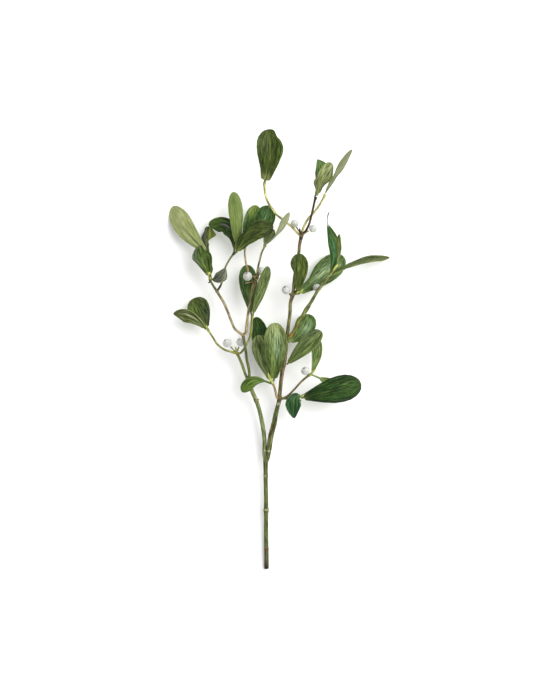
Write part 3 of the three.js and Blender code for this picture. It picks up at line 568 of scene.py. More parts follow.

# ---------------------------------------------------------------------------------------------
# Top fork. The head of the right branch splits into a long curved arm to the left in cream bark,
# kept cream only on its upper side by the painted shade on its flanks, and two thinner arms to
# the right, with berry stalks and a bud in the fork.

stem_piece(
    "top_fork",
    [
        ("dark", [[34.7, 331, 30.6, 3.6], [35.4, 334.6, 31, 4.5], [35.7, 336.6, 31.1, 3.8]]),
        ("cream", [
            [35.4, 334, 31, 2.9], [31.8, 336.6, 30.8, 2.4], [26.7, 342.2, 29.8, 2.4],
            [16.7, 350.3, 27.2, 2.4], [10, 356, 26.4, 2.4], [4.9, 363, 26, 2.4],
            [1.9, 368, 26.2, 2.4], [-0.6, 375.5, 26.8, 2.4], [-1.5, 383.4, 26.8, 2.4],
            [-1.5, 385.8, 26.9, 3.1], [-1.3, 387.4, 27, 3.4],
        ]),
        ("dark", [
            [35.6, 334.4, 31, 2.9], [39.4, 338.5, 31.8, 2.4], [43, 345.6, 33.2, 2.3],
            [45, 352.8, 34.4, 2.3], [47.1, 362, 35.8, 2.3], [48.5, 368.4, 36.6, 2.3],
            [49.2, 371, 36.9, 3], [49.6, 372.7, 37.2, 3.3],
        ]),
        ("cream", [
            [35.4, 334.4, 30.4, 2.9], [37, 341, 29.4, 2.3], [42, 351, 28.4, 2.3],
            [48.5, 358, 28.1, 2.3], [53.5, 365, 28, 2.3], [57.3, 371.6, 28, 2.3],
            [58.5, 374.3, 28, 3], [59.2, 376.2, 28, 3.3],
        ]),
        ("dark", [[34.8, 336, 31.4, 1.9], [33.9, 339, 32.6, 2.1], [33.4, 341.6, 33.2, 0.8]]),
        ("tan", [[34.6, 336.4, 30, 1.9], [32.6, 339.6, 27.8, 1.4], [30.4, 342.8, 26.1, 1.6]]),
        ("tan", [[36.4, 335.2, 31, 1.9], [40, 337.4, 31.3, 1.4], [42.9, 339, 31.6, 1.6]]),
    ],
    rough_bark, marks=[((35.4, 335, 30.8), (3.5, 3, 4), "dark", 0.7)],
)

# ---------------------------------------------------------------------------------------------
# Leaves. Pressed leaves of coated cloth on a wired midrib: a narrow stalk, a long shoulder and
# a broad rounded end, deep green with fine lengthwise streaks above and paler underneath. One
# flat pattern is cut, and every leaf is that pattern bent, cupped and rolled to its own place.

leaf_grain, start, end = effect_group(
    "leaf_grain",
    [("Paint", "NodeSocketColor"), ("Weave", "NodeSocketVector"), ("Streaks", "NodeSocketFloat")],
    [("Paint", "NodeSocketColor"), ("Height", "NodeSocketFloat"), ("Roughness", "NodeSocketFloat")],
)
coarse_place = add_node(
    leaf_grain, "ShaderNodeMapping", {"Vector": start.outputs["Weave"], "Scale": (0.85, 0.075, 1)}
)
fine_place = add_node(
    leaf_grain, "ShaderNodeMapping", {"Vector": start.outputs["Weave"], "Scale": (1.9, 0.15, 1)}
)
cloud_place = add_node(
    leaf_grain, "ShaderNodeMapping", {"Vector": start.outputs["Weave"], "Scale": (0.16, 0.05, 1)}
)
coarse = add_node(
    leaf_grain, "ShaderNodeTexNoise", {"Vector": coarse_place.outputs[0], "Scale": 1, "Detail": 2},
)
fine = add_node(
    leaf_grain, "ShaderNodeTexNoise",
    {"Vector": fine_place.outputs[0], "Scale": 1, "Detail": 2, "Roughness": 0.6},
)
cloud = add_node(
    leaf_grain, "ShaderNodeTexNoise", {"Vector": cloud_place.outputs[0], "Scale": 1, "Detail": 2}
)
both = add_node(
    leaf_grain, "ShaderNodeMath", {0: coarse.outputs[0], 1: fine.outputs[0]}, operation="ADD"
)
streak_share = add_node(
    leaf_grain, "ShaderNodeMapRange",
    {"Value": both.outputs[0], "From Min": 0.82, "From Max": 1.18},
)
streak_tone = add_node(
    leaf_grain, "ShaderNodeMix",
    {0: streak_share.outputs[0], 6: (0.3, 0.36, 0.22, 1), 7: (2.15, 1.9, 1.95, 1)},
    data_type="RGBA",
)
streaked = add_node(
    leaf_grain, "ShaderNodeMix",
    {0: start.outputs["Streaks"], 6: start.outputs["Paint"], 7: streak_tone.outputs[2]},
    data_type="RGBA", blend_type="MULTIPLY",
)
thread_share = add_node(
    leaf_grain, "ShaderNodeMapRange",
    {"Value": fine.outputs[0], "From Min": 0.6, "From Max": 0.74, "To Max": 0.4},
)
threaded = add_node(
    leaf_grain, "ShaderNodeMix",
    {0: thread_share.outputs[0], 6: streaked.outputs[2], 7: (0.2, 0.25, 0.12, 1)}, data_type="RGBA",
)
cloud_share = add_node(
    leaf_grain, "ShaderNodeMapRange",
    {"Value": cloud.outputs[0], "From Min": 0.38, "From Max": 0.66, "To Max": 0.7},
)
clouded = add_node(
    leaf_grain, "ShaderNodeMix",
    {0: cloud_share.outputs[0], 6: threaded.outputs[2], 7: (0.55, 0.62, 0.6, 1)}, data_type="RGBA",
    blend_type="MULTIPLY",
)
satin = add_node(
    leaf_grain, "ShaderNodeMapRange",
    {"Value": both.outputs[0], "From Min": 0.7, "From Max": 1.3, "To Min": 0.5, "To Max": 0.38},
)
leaf_grain.links.new(clouded.outputs[2], end.inputs["Paint"])
leaf_grain.links.new(both.outputs[0], end.inputs["Height"])
leaf_grain.links.new(satin.outputs[0], end.inputs["Roughness"])


def leaf_material(name, paint_attribute, streak_depth, bump, gloss):
    """Coated cloth in the paint that each leaf carries, with lengthwise streaks."""

    def build(tree, shader):
        paint = add_node(tree, "ShaderNodeAttribute", attribute_name=paint_attribute)
        weave = add_node(tree, "ShaderNodeAttribute", attribute_name="weave")
        group = add_node(tree, "ShaderNodeGroup", node_tree=leaf_grain)
        tree.links.new(paint.outputs["Color"], group.inputs["Paint"])
        tree.links.new(weave.outputs["Vector"], group.inputs["Weave"])
        group.inputs["Streaks"].default_value = streak_depth
        relief = add_node(
            tree, "ShaderNodeBump",
            {"Height": group.outputs["Height"], "Strength": bump, "Distance": 0.0004},
        )
        tree.links.new(group.outputs["Paint"], shader.inputs["Base Color"])
        tree.links.new(group.outputs["Roughness"], shader.inputs["Roughness"])
        tree.links.new(relief.outputs[0], shader.inputs["Normal"])
        shader.inputs["Specular IOR Level"].default_value = gloss

    return finish_material(name, build)


leaf_top = leaf_material("leaf_upper_face", "upper_paint", 1, 0.6, 0.12)
leaf_under = leaf_material("leaf_under_face", "under_paint", 0.34, 0.4, 0.1)

bpy.ops.object.select_all(action="DESELECT")
bpy.ops.mesh.primitive_grid_add(x_subdivisions=28, y_subdivisions=78, size=2, calc_uvs=True)
leaf_pattern = bpy.context.object
leaf_pattern.name = "leaf_pattern"

LEAF_OUTLINE = np.array(
    [
        [0, 0.27], [0.07, 0.37], [0.15, 0.5], [0.32, 0.75], [0.48, 0.93], [0.63, 1], [0.76, 0.965],
        [0.87, 0.8], [0.945, 0.56], [0.98, 0.36], [0.994, 0.2], [1, 0.06],
    ],
)


def lay_leaf(
    name,
    order,
    base,
    tip,
    width,
    paint,
    bow=(0, 0, 0),
    roll=0,
    cup=0.15,
    twist=0,
    neck=0.05,
    stalk=1.9,
    sharp=0,
    bulges=(),
    under=(138, 150, 92),
    patches=(),
):
    """The pattern bent along its midrib from base to tip, in millimetres from the stem's foot."""
    bpy.ops.object.select_all(action="DESELECT")
    leaf_pattern.select_set(True)
    bpy.context.view_layer.objects.active = leaf_pattern
    bpy.ops.object.duplicate()
    leaf = bpy.context.object
    leaf.name = leaf.data.name = name + "_blade"
    mesh = leaf.data
    grid = np.empty(len(mesh.vertices) * 3)
    mesh.vertices.foreach_get("co", grid)
    grid = grid.reshape(-1, 3)
    u = grid[:, 0]
    v = 1 - (1 - (grid[:, 1] + 1) / 2) ** 1.35
    base, tip, bow = (np.array(point, float) for point in (base, tip, bow))

    def midrib(at):
        at = at[:, None]
        return base + (tip - base) * at + bow * 4 * at * (1 - at)

    def unit(rows):
        return rows / np.linalg.norm(rows, axis=1)[:, None]

    along = unit(midrib(v + 0.01) - midrib(v - 0.01))
    level = unit(np.cross(along, (0, 0, 1)))
    turn = np.radians(-(roll + twist * (v - 0.5)))[:, None]
    side = level * np.cos(turn) + np.cross(along, level) * np.sin(turn)
    normal = np.cross(side, along)
    share = np.clip((v - neck) / (1 - neck), 0, 1)
    half = np.interp(share, LEAF_OUTLINE[:, 0], LEAF_OUTLINE[:, 1])
    half *= 1 - 0.55 * sharp * np.maximum(share - 0.6, 0) / 0.4
    half = np.where(v < neck, stalk / width, half)
    swell = np.ones(len(u))
    for edge, at, length, amount in bulges:
        swell += amount * np.maximum(edge * u, 0) * np.exp(-(((v - at) / length) ** 2))
    half *= width / 2 * swell
    wave = np.where(v < neck, 0, 0.05 * np.sin(2 * math.pi * 1.6 * v + order * 1.7))
    crisp = 0.012 * np.sin(23 * v + order) + 0.01 * np.sin(41 * v + 2 * order)
    lift = cup * (0.5 * u**2 + 0.5 * np.abs(u)) + (wave + crisp) * u**2
    vein = 0.05 * np.cos(np.abs(u) * 26) * (1 - u**2) * (share > 0)
    groove = 0.28 * np.exp(-((u / 0.07) ** 2)) * (1 - v) * (share > 0)
    point = midrib(v) + side * (u * half)[:, None] + normal * (lift * half + vein - groove)[:, None]
    point -= along * (1.2 * np.clip(1 - v / neck, 0, 1))[:, None]
    point[:, 2] = np.maximum(point[:, 2], 0.35)
    mesh.vertices.foreach_set("co", ((point - FOOT) / 1000).ravel())

    bare = np.clip(1 - share / 0.1, 0, 1)
    rib = np.exp(-((u / 0.1) ** 2)) * (1 - v)
    weight = 0.4 + 0.35 * rib + bare * 0.6 * (1 - u**2)
    group = leaf.vertex_groups.new(name="thickness")
    for index, amount in enumerate(np.clip(weight, 0, 1)):
        group.add([index], float(amount), "REPLACE")

    painted = np.tile(colour(*paint), (len(u), 1))
    beneath = np.tile(colour(*under), (len(u), 1))
    foot_share = 0.55 * np.exp(-((v / 0.09) ** 2)) + 0.25 * np.exp(-((u / 0.05) ** 2)) * (1 - 0.8 * v)
    foot_share = np.clip(foot_share, 0, 0.7)[:, None]
    painted = painted * (1 - foot_share) + np.array(colour(124, 138, 76)) * foot_share
    # Patches of paint: most are the leaf's own tones, and some are painted sheen, glint or shade, noted
    # where each leaf is laid.
    for across, at, reach, length, hue, strength in patches:
        amount = strength * np.exp(-(((u - across) / reach) ** 2) - ((v - at) / length) ** 2)[
            :, None,
        ]
        painted = painted * (1 - amount) + np.array(colour(*hue)) * amount
        beneath = beneath * (1 - amount) + np.array(colour(*hue)) * amount
    ones = np.ones(len(u))
    for label, rows in (("upper_paint", painted), ("under_paint", beneath)):
        mesh.attributes.new(label, "FLOAT_COLOR", "POINT").data.foreach_set(
            "color", np.c_[rows, ones].ravel(),
        )
    weave = np.c_[u * width / 2, v * np.linalg.norm(tip - base), ones * order * 7.3]
    mesh.attributes.new("weave", "FLOAT_VECTOR", "POINT").data.foreach_set("vector", weave.ravel())

    mesh.materials.clear()
    mesh.materials.append(leaf_top)
    mesh.materials.append(leaf_under)
    cloth = leaf.modifiers.new("cloth", "SOLIDIFY")
    cloth.thickness = 0.0015
    cloth.offset = 0
    cloth.vertex_group = "thickness"
    cloth.material_offset = 1
    cloth.material_offset_rim = 1
    bpy.ops.object.modifier_apply(modifier="cloth")
    bpy.ops.object.shade_smooth_by_angle(angle=math.radians(50))
    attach(leaf, "root")
    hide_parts(name)
    return leaf


# ---------------------------------------------------------------------------------------------
# Left leaves. A round leaf and a folded pointed one share the joint at the end of the left arm.

lay_leaf(
    "leaf_left_round", 0, base=(-59.1, 242.1, 17.4), tip=(-72, 272, 9), bow=(0, 0, 3), width=22,
    cup=0.12, paint=(56, 68, 30),
    patches=[(0.7, 0.35, 0.4, 0.35, (44, 60, 40), 0.7), (-0.4, 0.75, 0.5, 0.3, (70, 90, 34), 0.6)],
)
lay_leaf(
    "leaf_left_point", 1, base=(-60.9, 241.6, 19.4), tip=(-92.6, 256.2, 17), bow=(0.5, 4.6, 5),
    width=14, roll=20, cup=0.35, sharp=0.9, paint=(76, 86, 50),
    patches=[
        (0.12, 0.42, 0.2, 0.42, (148, 158, 116), 0.9), (-0.12, 0.4, 0.06, 0.36, (60, 76, 34), 0.9),
        (-0.6, 0.5, 0.3, 0.5, (96, 108, 62), 0.6), (0.55, 0.4, 0.08, 0.3, (62, 78, 36), 0.8),
        (0, 1, 1, 0.12, (58, 74, 40), 0.7),
    ],
)

# ---------------------------------------------------------------------------------------------
# Outer leaves. Four leaves round the thin outer arm: one dark, one turned over with its pale
# underside up, one curled with a blue-black inner half, and a small one at the fork, painted
# grey-green for the sheen it catches.

# The blue-grey patch at one edge near its end is painted sheen.
lay_leaf(
    "leaf_outer_dark", 2, base=(-57, 294, 20.6), tip=(-66.5, 324.6, 17), bow=(0, 0, 2), width=17.5,
    roll=-8, bulges=[(-1, 0.66, 0.16, 0.3), (1, 0.88, 0.14, -0.6), (1, 0.12, 0.12, 0.5)],
    paint=(50, 70, 20),
    patches=[
        (-0.95, 0.72, 0.25, 0.3, (72, 84, 74), 0.7), (0.05, 0.5, 0.08, 0.3, (24, 34, 12), 0.8),
        (-0.12, 0.42, 0.12, 0.3, (92, 112, 42), 0.6), (-0.1, 0.05, 0.7, 0.06, (150, 174, 110), 0.9),
    ],
)
lay_leaf(
    "leaf_outer_pale", 3, base=(-59.6, 318.6, 12.3), tip=(-93.3, 365, -2.4), bow=(-3, -2, 7),
    width=20.5, roll=180, cup=0.14, paint=(70, 92, 40), under=(129, 137, 89),
    patches=[
        (0.02, 0.2, 0.1, 0.3, (48, 62, 26), 1), (0.34, 0.25, 0.15, 0.35, (160, 170, 120), 0.8),
        (-0.5, 0.3, 0.3, 0.3, (112, 126, 62), 0.6), (0, 0.8, 1, 0.2, (144, 148, 104), 0.6),
    ],
)
lay_leaf(
    "leaf_outer_curled", 4, base=(-58.4, 318.5, 7.2), tip=(-57, 344, 6), bow=(-1.5, 0, -0.6),
    width=12, roll=12, neck=0.2, stalk=3.2,
    bulges=[
        (1, 0.72, 0.13, 0.5), (1, 0.42, 0.12, -0.8), (-1, 0.45, 0.13, 0.3), (-1, 0.78, 0.13, -0.35),
    ],
    paint=(96, 109, 48),
    patches=[(-0.7, 0.5, 0.55, 1, (58, 64, 66), 0.95), (0.1, 0.1, 1, 0.25, (48, 56, 50), 0.8)],
)
# Its grey-green paint, palest along one edge, is painted sheen.
lay_leaf(
    "leaf_outer_small", 5, base=(-53.4, 290.6, 21), tip=(-40.7, 302, 31), bow=(0.8, -3.6, 2),
    width=13, roll=-18, sharp=1, paint=(88, 96, 82),
    patches=[(0.95, 0.6, 0.3, 0.5, (132, 140, 120), 0.85), (-0.3, 0.3, 0.4, 0.3, (62, 70, 58), 0.6)],
)

# ---------------------------------------------------------------------------------------------
# Crown leaves. Seven leaves crowd the tips of the left upper sprig: dark ones behind, a pale
# one turned over, one broad matt leaf lying in front, and a thin one edge-on to the right.

# The purple-grey streak across its middle is a painted glint.
lay_leaf(
    "leaf_crown_dark", 6, base=(-31.9, 320, 15.8), tip=(-57.5, 345.5, 12), bow=(8.5, 10.2, 4),
    width=14, roll=10, bulges=[(-1, 0.35, 0.24, 0.6), (-1, 0.84, 0.12, 0.35)], paint=(38, 58, 22),
    patches=[
        (-0.1, 0.62, 0.16, 0.2, (92, 90, 104), 0.75), (0.1, 0.9, 0.8, 0.16, (66, 92, 32), 0.8),
        (0, 0.3, 1, 0.2, (26, 40, 22), 0.6),
    ],
)
lay_leaf(
    "leaf_crown_pale", 7, base=(-29.6, 320.4, 18.5), tip=(-32.6, 378, 25), bow=(1.4, 0, 3),
    width=14.5, roll=180, cup=0.2, neck=0.12,
    bulges=[(-1, 0.24, 0.12, 0.22), (1, 0.24, 0.12, 0.22)], paint=(70, 92, 40),
    under=(106, 122, 64), patches=[(-0.95, 0.35, 0.16, 0.3, (60, 76, 36), 0.9)],
)
lay_leaf(
    "leaf_crown_broad", 8, base=(-29.7, 318.3, 21.4), tip=(7.2, 343.2, 28), bow=(-2, 6, 4),
    width=18, cup=0.1, bulges=[(-1, 0.12, 0.14, 0.55), (1, 0.12, 0.14, 0.35)], paint=(53, 67, 25),
)
lay_leaf(
    "leaf_crown_back", 9, base=(-21.9, 325.2, 14.6), tip=(-9.4, 365, 12), bow=(-0.5, 0, 0),
    width=15.5, paint=(62, 92, 42), patches=[(-0.1, 0.92, 0.8, 0.22, (116, 134, 62), 0.9)],
)
# The blue-green patch near its tip is painted sheen.
lay_leaf(
    "leaf_crown_shiny", 10, base=(-20.6, 325.9, 17.3), tip=(2.6, 364.6, 20), bow=(3.6, -1, 2),
    width=21, paint=(56, 84, 36),
    patches=[(0.1, 0.75, 0.3, 0.2, (78, 112, 78), 0.7), (-0.6, 0.6, 0.2, 0.2, (30, 48, 16), 0.8)],
)
lay_leaf(
    "leaf_crown_thin", 11, base=(-0.1, 326, 28.9), tip=(23, 356.8, 43), bow=(2.4, -2.4, 1),
    width=13.5, roll=118, neck=0.36, stalk=2.6, sharp=0.5, paint=(84, 100, 52),
    under=(144, 150, 114), patches=[(0, 0.12, 1, 0.2, (76, 94, 50), 0.9)],
)
lay_leaf(
    "leaf_crown_short", 12, base=(-1.4, 325.9, 26.8), tip=(8.4, 339.6, 24), bow=(-1.2, 1.2, 0),
    width=10.5, paint=(80, 94, 54),
)

# ---------------------------------------------------------------------------------------------
# Centre leaves. A wide dark leaf behind the left upper sprig and a narrow one in front of it.

lay_leaf(
    "leaf_centre_wide", 13, base=(-14.9, 256.9, 27.8), tip=(-19.5, 305.4, 12), bow=(0, 0, -3),
    width=18.5, paint=(56, 80, 38),
)
# Its darker olive left half is painted shade.
lay_leaf(
    "leaf_centre_narrow", 14, base=(-12.9, 256, 31.1), tip=(1.8, 303.3, 42), bow=(0, 0, 2),
    width=14, roll=-42, paint=(82, 98, 56), patches=[(-0.8, 0.5, 0.4, 0.6, (70, 82, 46), 0.7)],
)

# ---------------------------------------------------------------------------------------------
# Top leaves. One broad leaf ends the left arm of the top fork, and three narrower ones end the
# two right arms: a dark one behind, a pointed olive one in front and a thin pale one edge-on.

lay_leaf(
    "leaf_top", 15, base=(-1.2, 388.3, 27.3), tip=(2, 440.1, 33), bow=(3, 0, 8), width=26, cup=0.2,
    bulges=[(1, 0.86, 0.1, -0.3), (1, 0.58, 0.1, 0.08), (1, 0.06, 0.1, 0.2), (-1, 0.06, 0.1, 0.25)],
    paint=(50, 64, 20),
    patches=[
        (0.95, 0.6, 0.2, 0.25, (84, 104, 48), 0.8), (0, 0.07, 0.8, 0.1, (122, 132, 84), 0.8),
        (-0.3, 0.5, 0.3, 0.3, (44, 58, 18), 0.6), (0.05, 0.45, 0.1, 0.4, (78, 92, 44), 0.6),
    ],
)
lay_leaf(
    "leaf_peak_front", 16, base=(51, 375.2, 39.3), tip=(65.4, 405.8, 47), bow=(-2, 1, 3),
    width=13.5, roll=-20, bulges=[(-1, 0.3, 0.12, 0.5), (1, 0.55, 0.2, 0.4), (1, 0.06, 0.1, 0.4)],
    paint=(99, 111, 67),
    patches=[(0, 0.85, 0.8, 0.25, (138, 146, 102), 0.7), (-0.5, 0.3, 0.4, 0.2, (78, 84, 50), 0.6)],
)
lay_leaf(
    "leaf_peak_back", 17, base=(49.3, 374, 36.6), tip=(51.5, 410, 37), bow=(4.5, 0, 2), width=12,
    roll=10, sharp=0.8, bulges=[(1, 0.86, 0.1, 0.7)], paint=(84, 110, 60),
)
lay_leaf(
    "leaf_peak_thin", 18, base=(59.9, 378, 28), tip=(86, 420, 31), bow=(-0.6, -1, 2), width=13.5,
    roll=120, sharp=0.5, bulges=[(1, 0.4, 0.12, -0.35), (-1, 0.4, 0.12, -0.35)],
    paint=(92, 112, 54), under=(116, 122, 88),
)

# ---------------------------------------------------------------------------------------------
# Right leaves. An upright leaf and a broad low one from the knot of the right branch, and three
# from the end of the side branch: one with painted blue-green sheen and a wire drawn out of its
# tip, one on edge and a long one on a broad flat stalk.

lay_leaf(
    "leaf_right_upright", 19, base=(31.5, 278.9, 30.2), tip=(32.5, 316, 39), bow=(1, 0, 3),
    width=18, bulges=[(-1, 0.42, 0.2, -0.4)], paint=(64, 78, 30),
    patches=[(-0.8, 0.5, 0.4, 0.5, (52, 68, 30), 0.7)],
)
# The whitish patch across its middle is painted sheen.
lay_leaf(
    "leaf_right_broad", 20, base=(33, 276.6, 28.4), tip=(78, 314, -2.8), bow=(0, 0, -2), width=24.5,
    bulges=[(-1, 0.28, 0.14, -0.28)], paint=(54, 78, 30),
    patches=[
        (-0.1, 0.55, 0.35, 0.25, (138, 160, 120), 0.75), (0.5, 0.85, 0.6, 0.2, (104, 132, 76), 0.6),
    ],
)
# The blue-green patch down its middle is painted sheen.
lay_leaf(
    "leaf_right_blue", 21, base=(64.8, 299.4, 31.8), tip=(61, 345.5, 40), bow=(5.4, 0, 1),
    width=13.5, roll=35, sharp=1, bulges=[(1, 0.14, 0.14, 0.5)], paint=(70, 102, 50),
    patches=[
        (-0.1, 0.35, 0.3, 0.45, (72, 128, 92), 0.8), (0.75, 0.55, 0.25, 0.3, (96, 104, 42), 0.8),
        (-0.8, 0.7, 0.3, 0.3, (44, 84, 44), 0.6), (0.5, 0.15, 0.4, 0.2, (48, 92, 30), 0.7),
    ],
)


def build_thread(tree, shader):
    place = add_node(tree, "ShaderNodeTexCoord")
    twist = add_node(tree, "ShaderNodeTexNoise", {"Vector": place.outputs["Object"], "Scale": 900})
    tint = add_node(
        tree, "ShaderNodeMix",
        {0: twist.outputs[0], 6: (0.3, 0.27, 0.26, 1), 7: (0.5, 0.45, 0.44, 1)}, data_type="RGBA",
    )
    height = add_node(tree, "ShaderNodeSeparateXYZ", {"Vector": place.outputs["Object"]})
    frayed = add_node(
        tree, "ShaderNodeMapRange",
        {"Value": height.outputs["Y"], "From Min": 0.1295, "From Max": 0.1355},
    )
    aged = add_node(
        tree, "ShaderNodeMix",
        {0: frayed.outputs[0], 6: tint.outputs[2], 7: (0.09, 0.075, 0.08, 1)}, data_type="RGBA",
    )
    tree.links.new(aged.outputs[2], shader.inputs["Base Color"])
    shader.inputs["Roughness"].default_value = 0.5


path, half, along, distance = run_samples(
    [[61.8, 343, 40.1, 1.8], [61.2, 348, 40.5, 1.6], [61.4, 353, 41, 1.5], [62.9, 357.6, 41.3, 1.1]],
)
bpy.ops.object.select_all(action="DESELECT")
bpy.ops.curve.primitive_nurbs_path_add()
thread = bpy.context.object
thread.data.splines.clear()
thread.data.bevel_depth = 0.001
thread.data.bevel_resolution = 3
thread.data.use_fill_caps = True
line = thread.data.splines.new("POLY")
line.points.add(len(path) - 1)
line.points.foreach_set("co", np.c_[(path - FOOT) / 1000, np.ones(len(path))].ravel())
line.points.foreach_set("radius", half)
bpy.ops.object.convert(target="MESH")
thread = bpy.context.object
thread.name = thread.data.name = "leaf_right_blue_thread"
thread.data.materials.clear()
thread.data.materials.append(finish_material("pale_leaf_thread", build_thread))
bpy.ops.object.shade_smooth()
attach(thread, "root")
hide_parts("leaf_right_blue")

lay_leaf(
    "leaf_right_edge", 22, base=(65.4, 299.4, 29), tip=(73.2, 336, 25), bow=(2.6, 0, 0), width=14,
    roll=62, sharp=0.8, bulges=[(1, 0.3, 0.2, 0.4)], paint=(75, 104, 48),
)
lay_leaf(
    "leaf_right_long", 23, base=(67.7, 296.6, 31), tip=(124, 313, 4), bow=(-1, 3.4, 2), width=11,
    roll=50, neck=0.2, stalk=4.4, sharp=0.6,
    bulges=[(1, 0.86, 0.12, 0.3), (1, 0.24, 0.12, 0.5), (-1, 0.24, 0.12, 0.5)], paint=(66, 78, 38),
    patches=[
        (0, 0.1, 1, 0.18, (50, 72, 28), 0.85), (0.6, 0.55, 0.2, 0.4, (104, 118, 62), 0.6),
        (-0.5, 0.8, 0.3, 0.2, (56, 72, 34), 0.6),
    ],
)

# ---------------------------------------------------------------------------------------------
# Side leaves. Two leaves from knots of the right branch, below the side branch, and a narrow
# mottled one at the end of the low right twig.

# The blue-grey patch on its blade is painted sheen.
lay_leaf(
    "leaf_side_back", 24, base=(23.6, 228.4, 21.4), tip=(42, 256, 9), bow=(4, -2, 0), width=21,
    paint=(70, 94, 42), patches=[(0.3, 0.6, 0.35, 0.22, (110, 134, 104), 0.7)],
)
lay_leaf(
    "leaf_side_dark", 25, base=(21.6, 206.4, 20.6), tip=(55, 239, 20), bow=(0, 0, 5), width=17,
    roll=10, cup=0.25, paint=(72, 86, 46),
    patches=[
        (-0.5, 0.5, 0.4, 0.6, (60, 74, 38), 0.8), (0.5, 0.45, 0.3, 0.5, (86, 110, 56), 0.7),
        (0.3, 0.35, 0.05, 0.4, (140, 152, 100), 0.8), (0, 1, 1, 0.12, (92, 112, 64), 0.7),
    ],
)
lay_leaf(
    "leaf_side_narrow", 26, base=(46.2, 197.4, 22.4), tip=(51.6, 231, 11), bow=(2.2, 0, 0),
    width=12.6, roll=34, paint=(112, 136, 82),
    patches=[
        (0.2, 0.3, 0.3, 0.2, (150, 166, 110), 0.6), (-0.3, 0.6, 0.3, 0.15, (86, 116, 56), 0.7),
        (0.4, 0.75, 0.2, 0.12, (146, 164, 110), 0.6), (0, 0.08, 1, 0.1, (92, 116, 56), 0.7),
    ],
)

# ---------------------------------------------------------------------------------------------
# Low leaves. The largest leaf, glossy and very dark, lies to the right; a hidden one shows
# behind it, and a small one curls down at the left of the joint.

lay_leaf(
    "leaf_low_hidden", 27, base=(46, 195.2, 21.7), tip=(79, 178, 13), bow=(0, 1, -1), width=13,
    neck=0.26, paint=(110, 130, 78),
)
lay_leaf(
    "leaf_low_broad", 28, base=(36.3, 172.4, 20.7), tip=(95, 186, 25), bow=(0, 0, 4), width=27,
    cup=0.08, paint=(32, 58, 18),
    patches=[
        (0.1, 0.12, 1, 0.16, (20, 40, 14), 0.8), (-0.2, 0.9, 0.6, 0.14, (48, 74, 26), 0.7),
        (0.95, 0.5, 0.2, 0.5, (20, 40, 16), 0.7), (-0.95, 0.5, 0.2, 0.5, (22, 42, 16), 0.6),
    ],
)
lay_leaf(
    "leaf_low_curled", 29, base=(32.8, 174.9, 20.4), tip=(28.2, 152, 22), bow=(-3, 5, 9), width=16,
    sharp=0.9, bulges=[(-1, 0.26, 0.1, 0.4)], paint=(38, 72, 38),
)

# ---------------------------------------------------------------------------------------------
# Inner leaves. Four leaves from the end of the low left twig: a pale one in front with painted
# sheen in its middle, an olive one and a dark one behind it, and a small one that arches over to the
# left.

# The whitish green patch in its middle is painted sheen.
lay_leaf(
    "leaf_inner_front", 30, base=(7.8, 190, 19.6), tip=(8, 247, 26), bow=(2, 0, 7), width=23,
    paint=(76, 92, 44),
    patches=[
        (0, 0.97, 1, 0.2, (134, 146, 96), 0.85), (0.15, 0.62, 0.45, 0.26, (116, 140, 104), 0.75),
        (-0.38, 0.28, 0.14, 0.22, (100, 126, 52), 0.6), (0.5, 0.12, 0.3, 0.22, (42, 68, 22), 0.8),
        (-0.9, 0.45, 0.22, 0.4, (52, 78, 28), 0.7),
    ],
)
lay_leaf(
    "leaf_inner_olive", 31, base=(4.8, 189.3, 17.5), tip=(-8, 235, 15), bow=(0, 0, 2), width=20,
    paint=(96, 110, 66),
)
lay_leaf(
    "leaf_inner_back", 32, base=(5.6, 188.9, 15.5), tip=(-10.5, 253, 6), bow=(0, 0, -2), width=18,
    paint=(33, 59, 12),
)
lay_leaf(
    "leaf_inner_arched", 33, base=(3.6, 186.9, 17.8), tip=(-23.5, 178, 23), bow=(-2, 6.5, 5),
    width=12, neck=0.18, paint=(72, 96, 38),
)

bpy.ops.object.select_all(action="DESELECT")
leaf_pattern.select_set(True)
bpy.ops.object.delete()

# ---------------------------------------------------------------------------------------------
# Berries. Cast from milky clear resin, a little flattened, each with a shallow dimple and a
# tiny dark scar where the flower was. One berry is modelled, and the others are copies of it.


def build_berry(tree, shader):
    place = add_node(tree, "ShaderNodeTexCoord")
    milk = add_node(
        tree, "ShaderNodeTexNoise", {"Vector": place.outputs["Object"], "Scale": 260, "Detail": 3}
    )
    tint = add_node(
        tree, "ShaderNodeMix",
        {0: milk.outputs[0], 6: (0.42, 0.43, 0.4, 1), 7: (0.7, 0.71, 0.67, 1)}, data_type="RGBA",
    )
    tree.links.new(tint.outputs[2], shader.inputs["Base Color"])
    shader.inputs["Subsurface Weight"].default_value = 1
    shader.inputs["Subsurface Radius"].default_value = (1, 1, 0.9)
    shader.inputs["Subsurface Scale"].default_value = 0.006
    shader.inputs["Roughness"].default_value = 0.35
    shader.inputs["Transmission Weight"].default_value = 0.35
    shader.inputs["IOR"].default_value = 1.3
    relief = add_node(
        tree, "ShaderNodeBump", {"Height": milk.outputs[0], "Strength": 0.15, "Distance": 0.0004}
    )
    tree.links.new(relief.outputs[0], shader.inputs["Normal"])


def build_scar(tree, shader):
    place = add_node(tree, "ShaderNodeTexCoord")
    crust = add_node(tree, "ShaderNodeTexNoise", {"Vector": place.outputs["Object"], "Scale": 1800})
    tint = add_node(
        tree, "ShaderNodeMix",
        {0: crust.outputs[0], 6: (0.01, 0.008, 0.006, 1), 7: (0.05, 0.035, 0.025, 1)},
        data_type="RGBA",
    )
    tree.links.new(tint.outputs[2], shader.inputs["Base Color"])
    shader.inputs["Roughness"].default_value = 0.7


milky_resin = finish_material("milky_berry_resin", build_berry)
dark_scar = finish_material("berry_scar", build_scar)

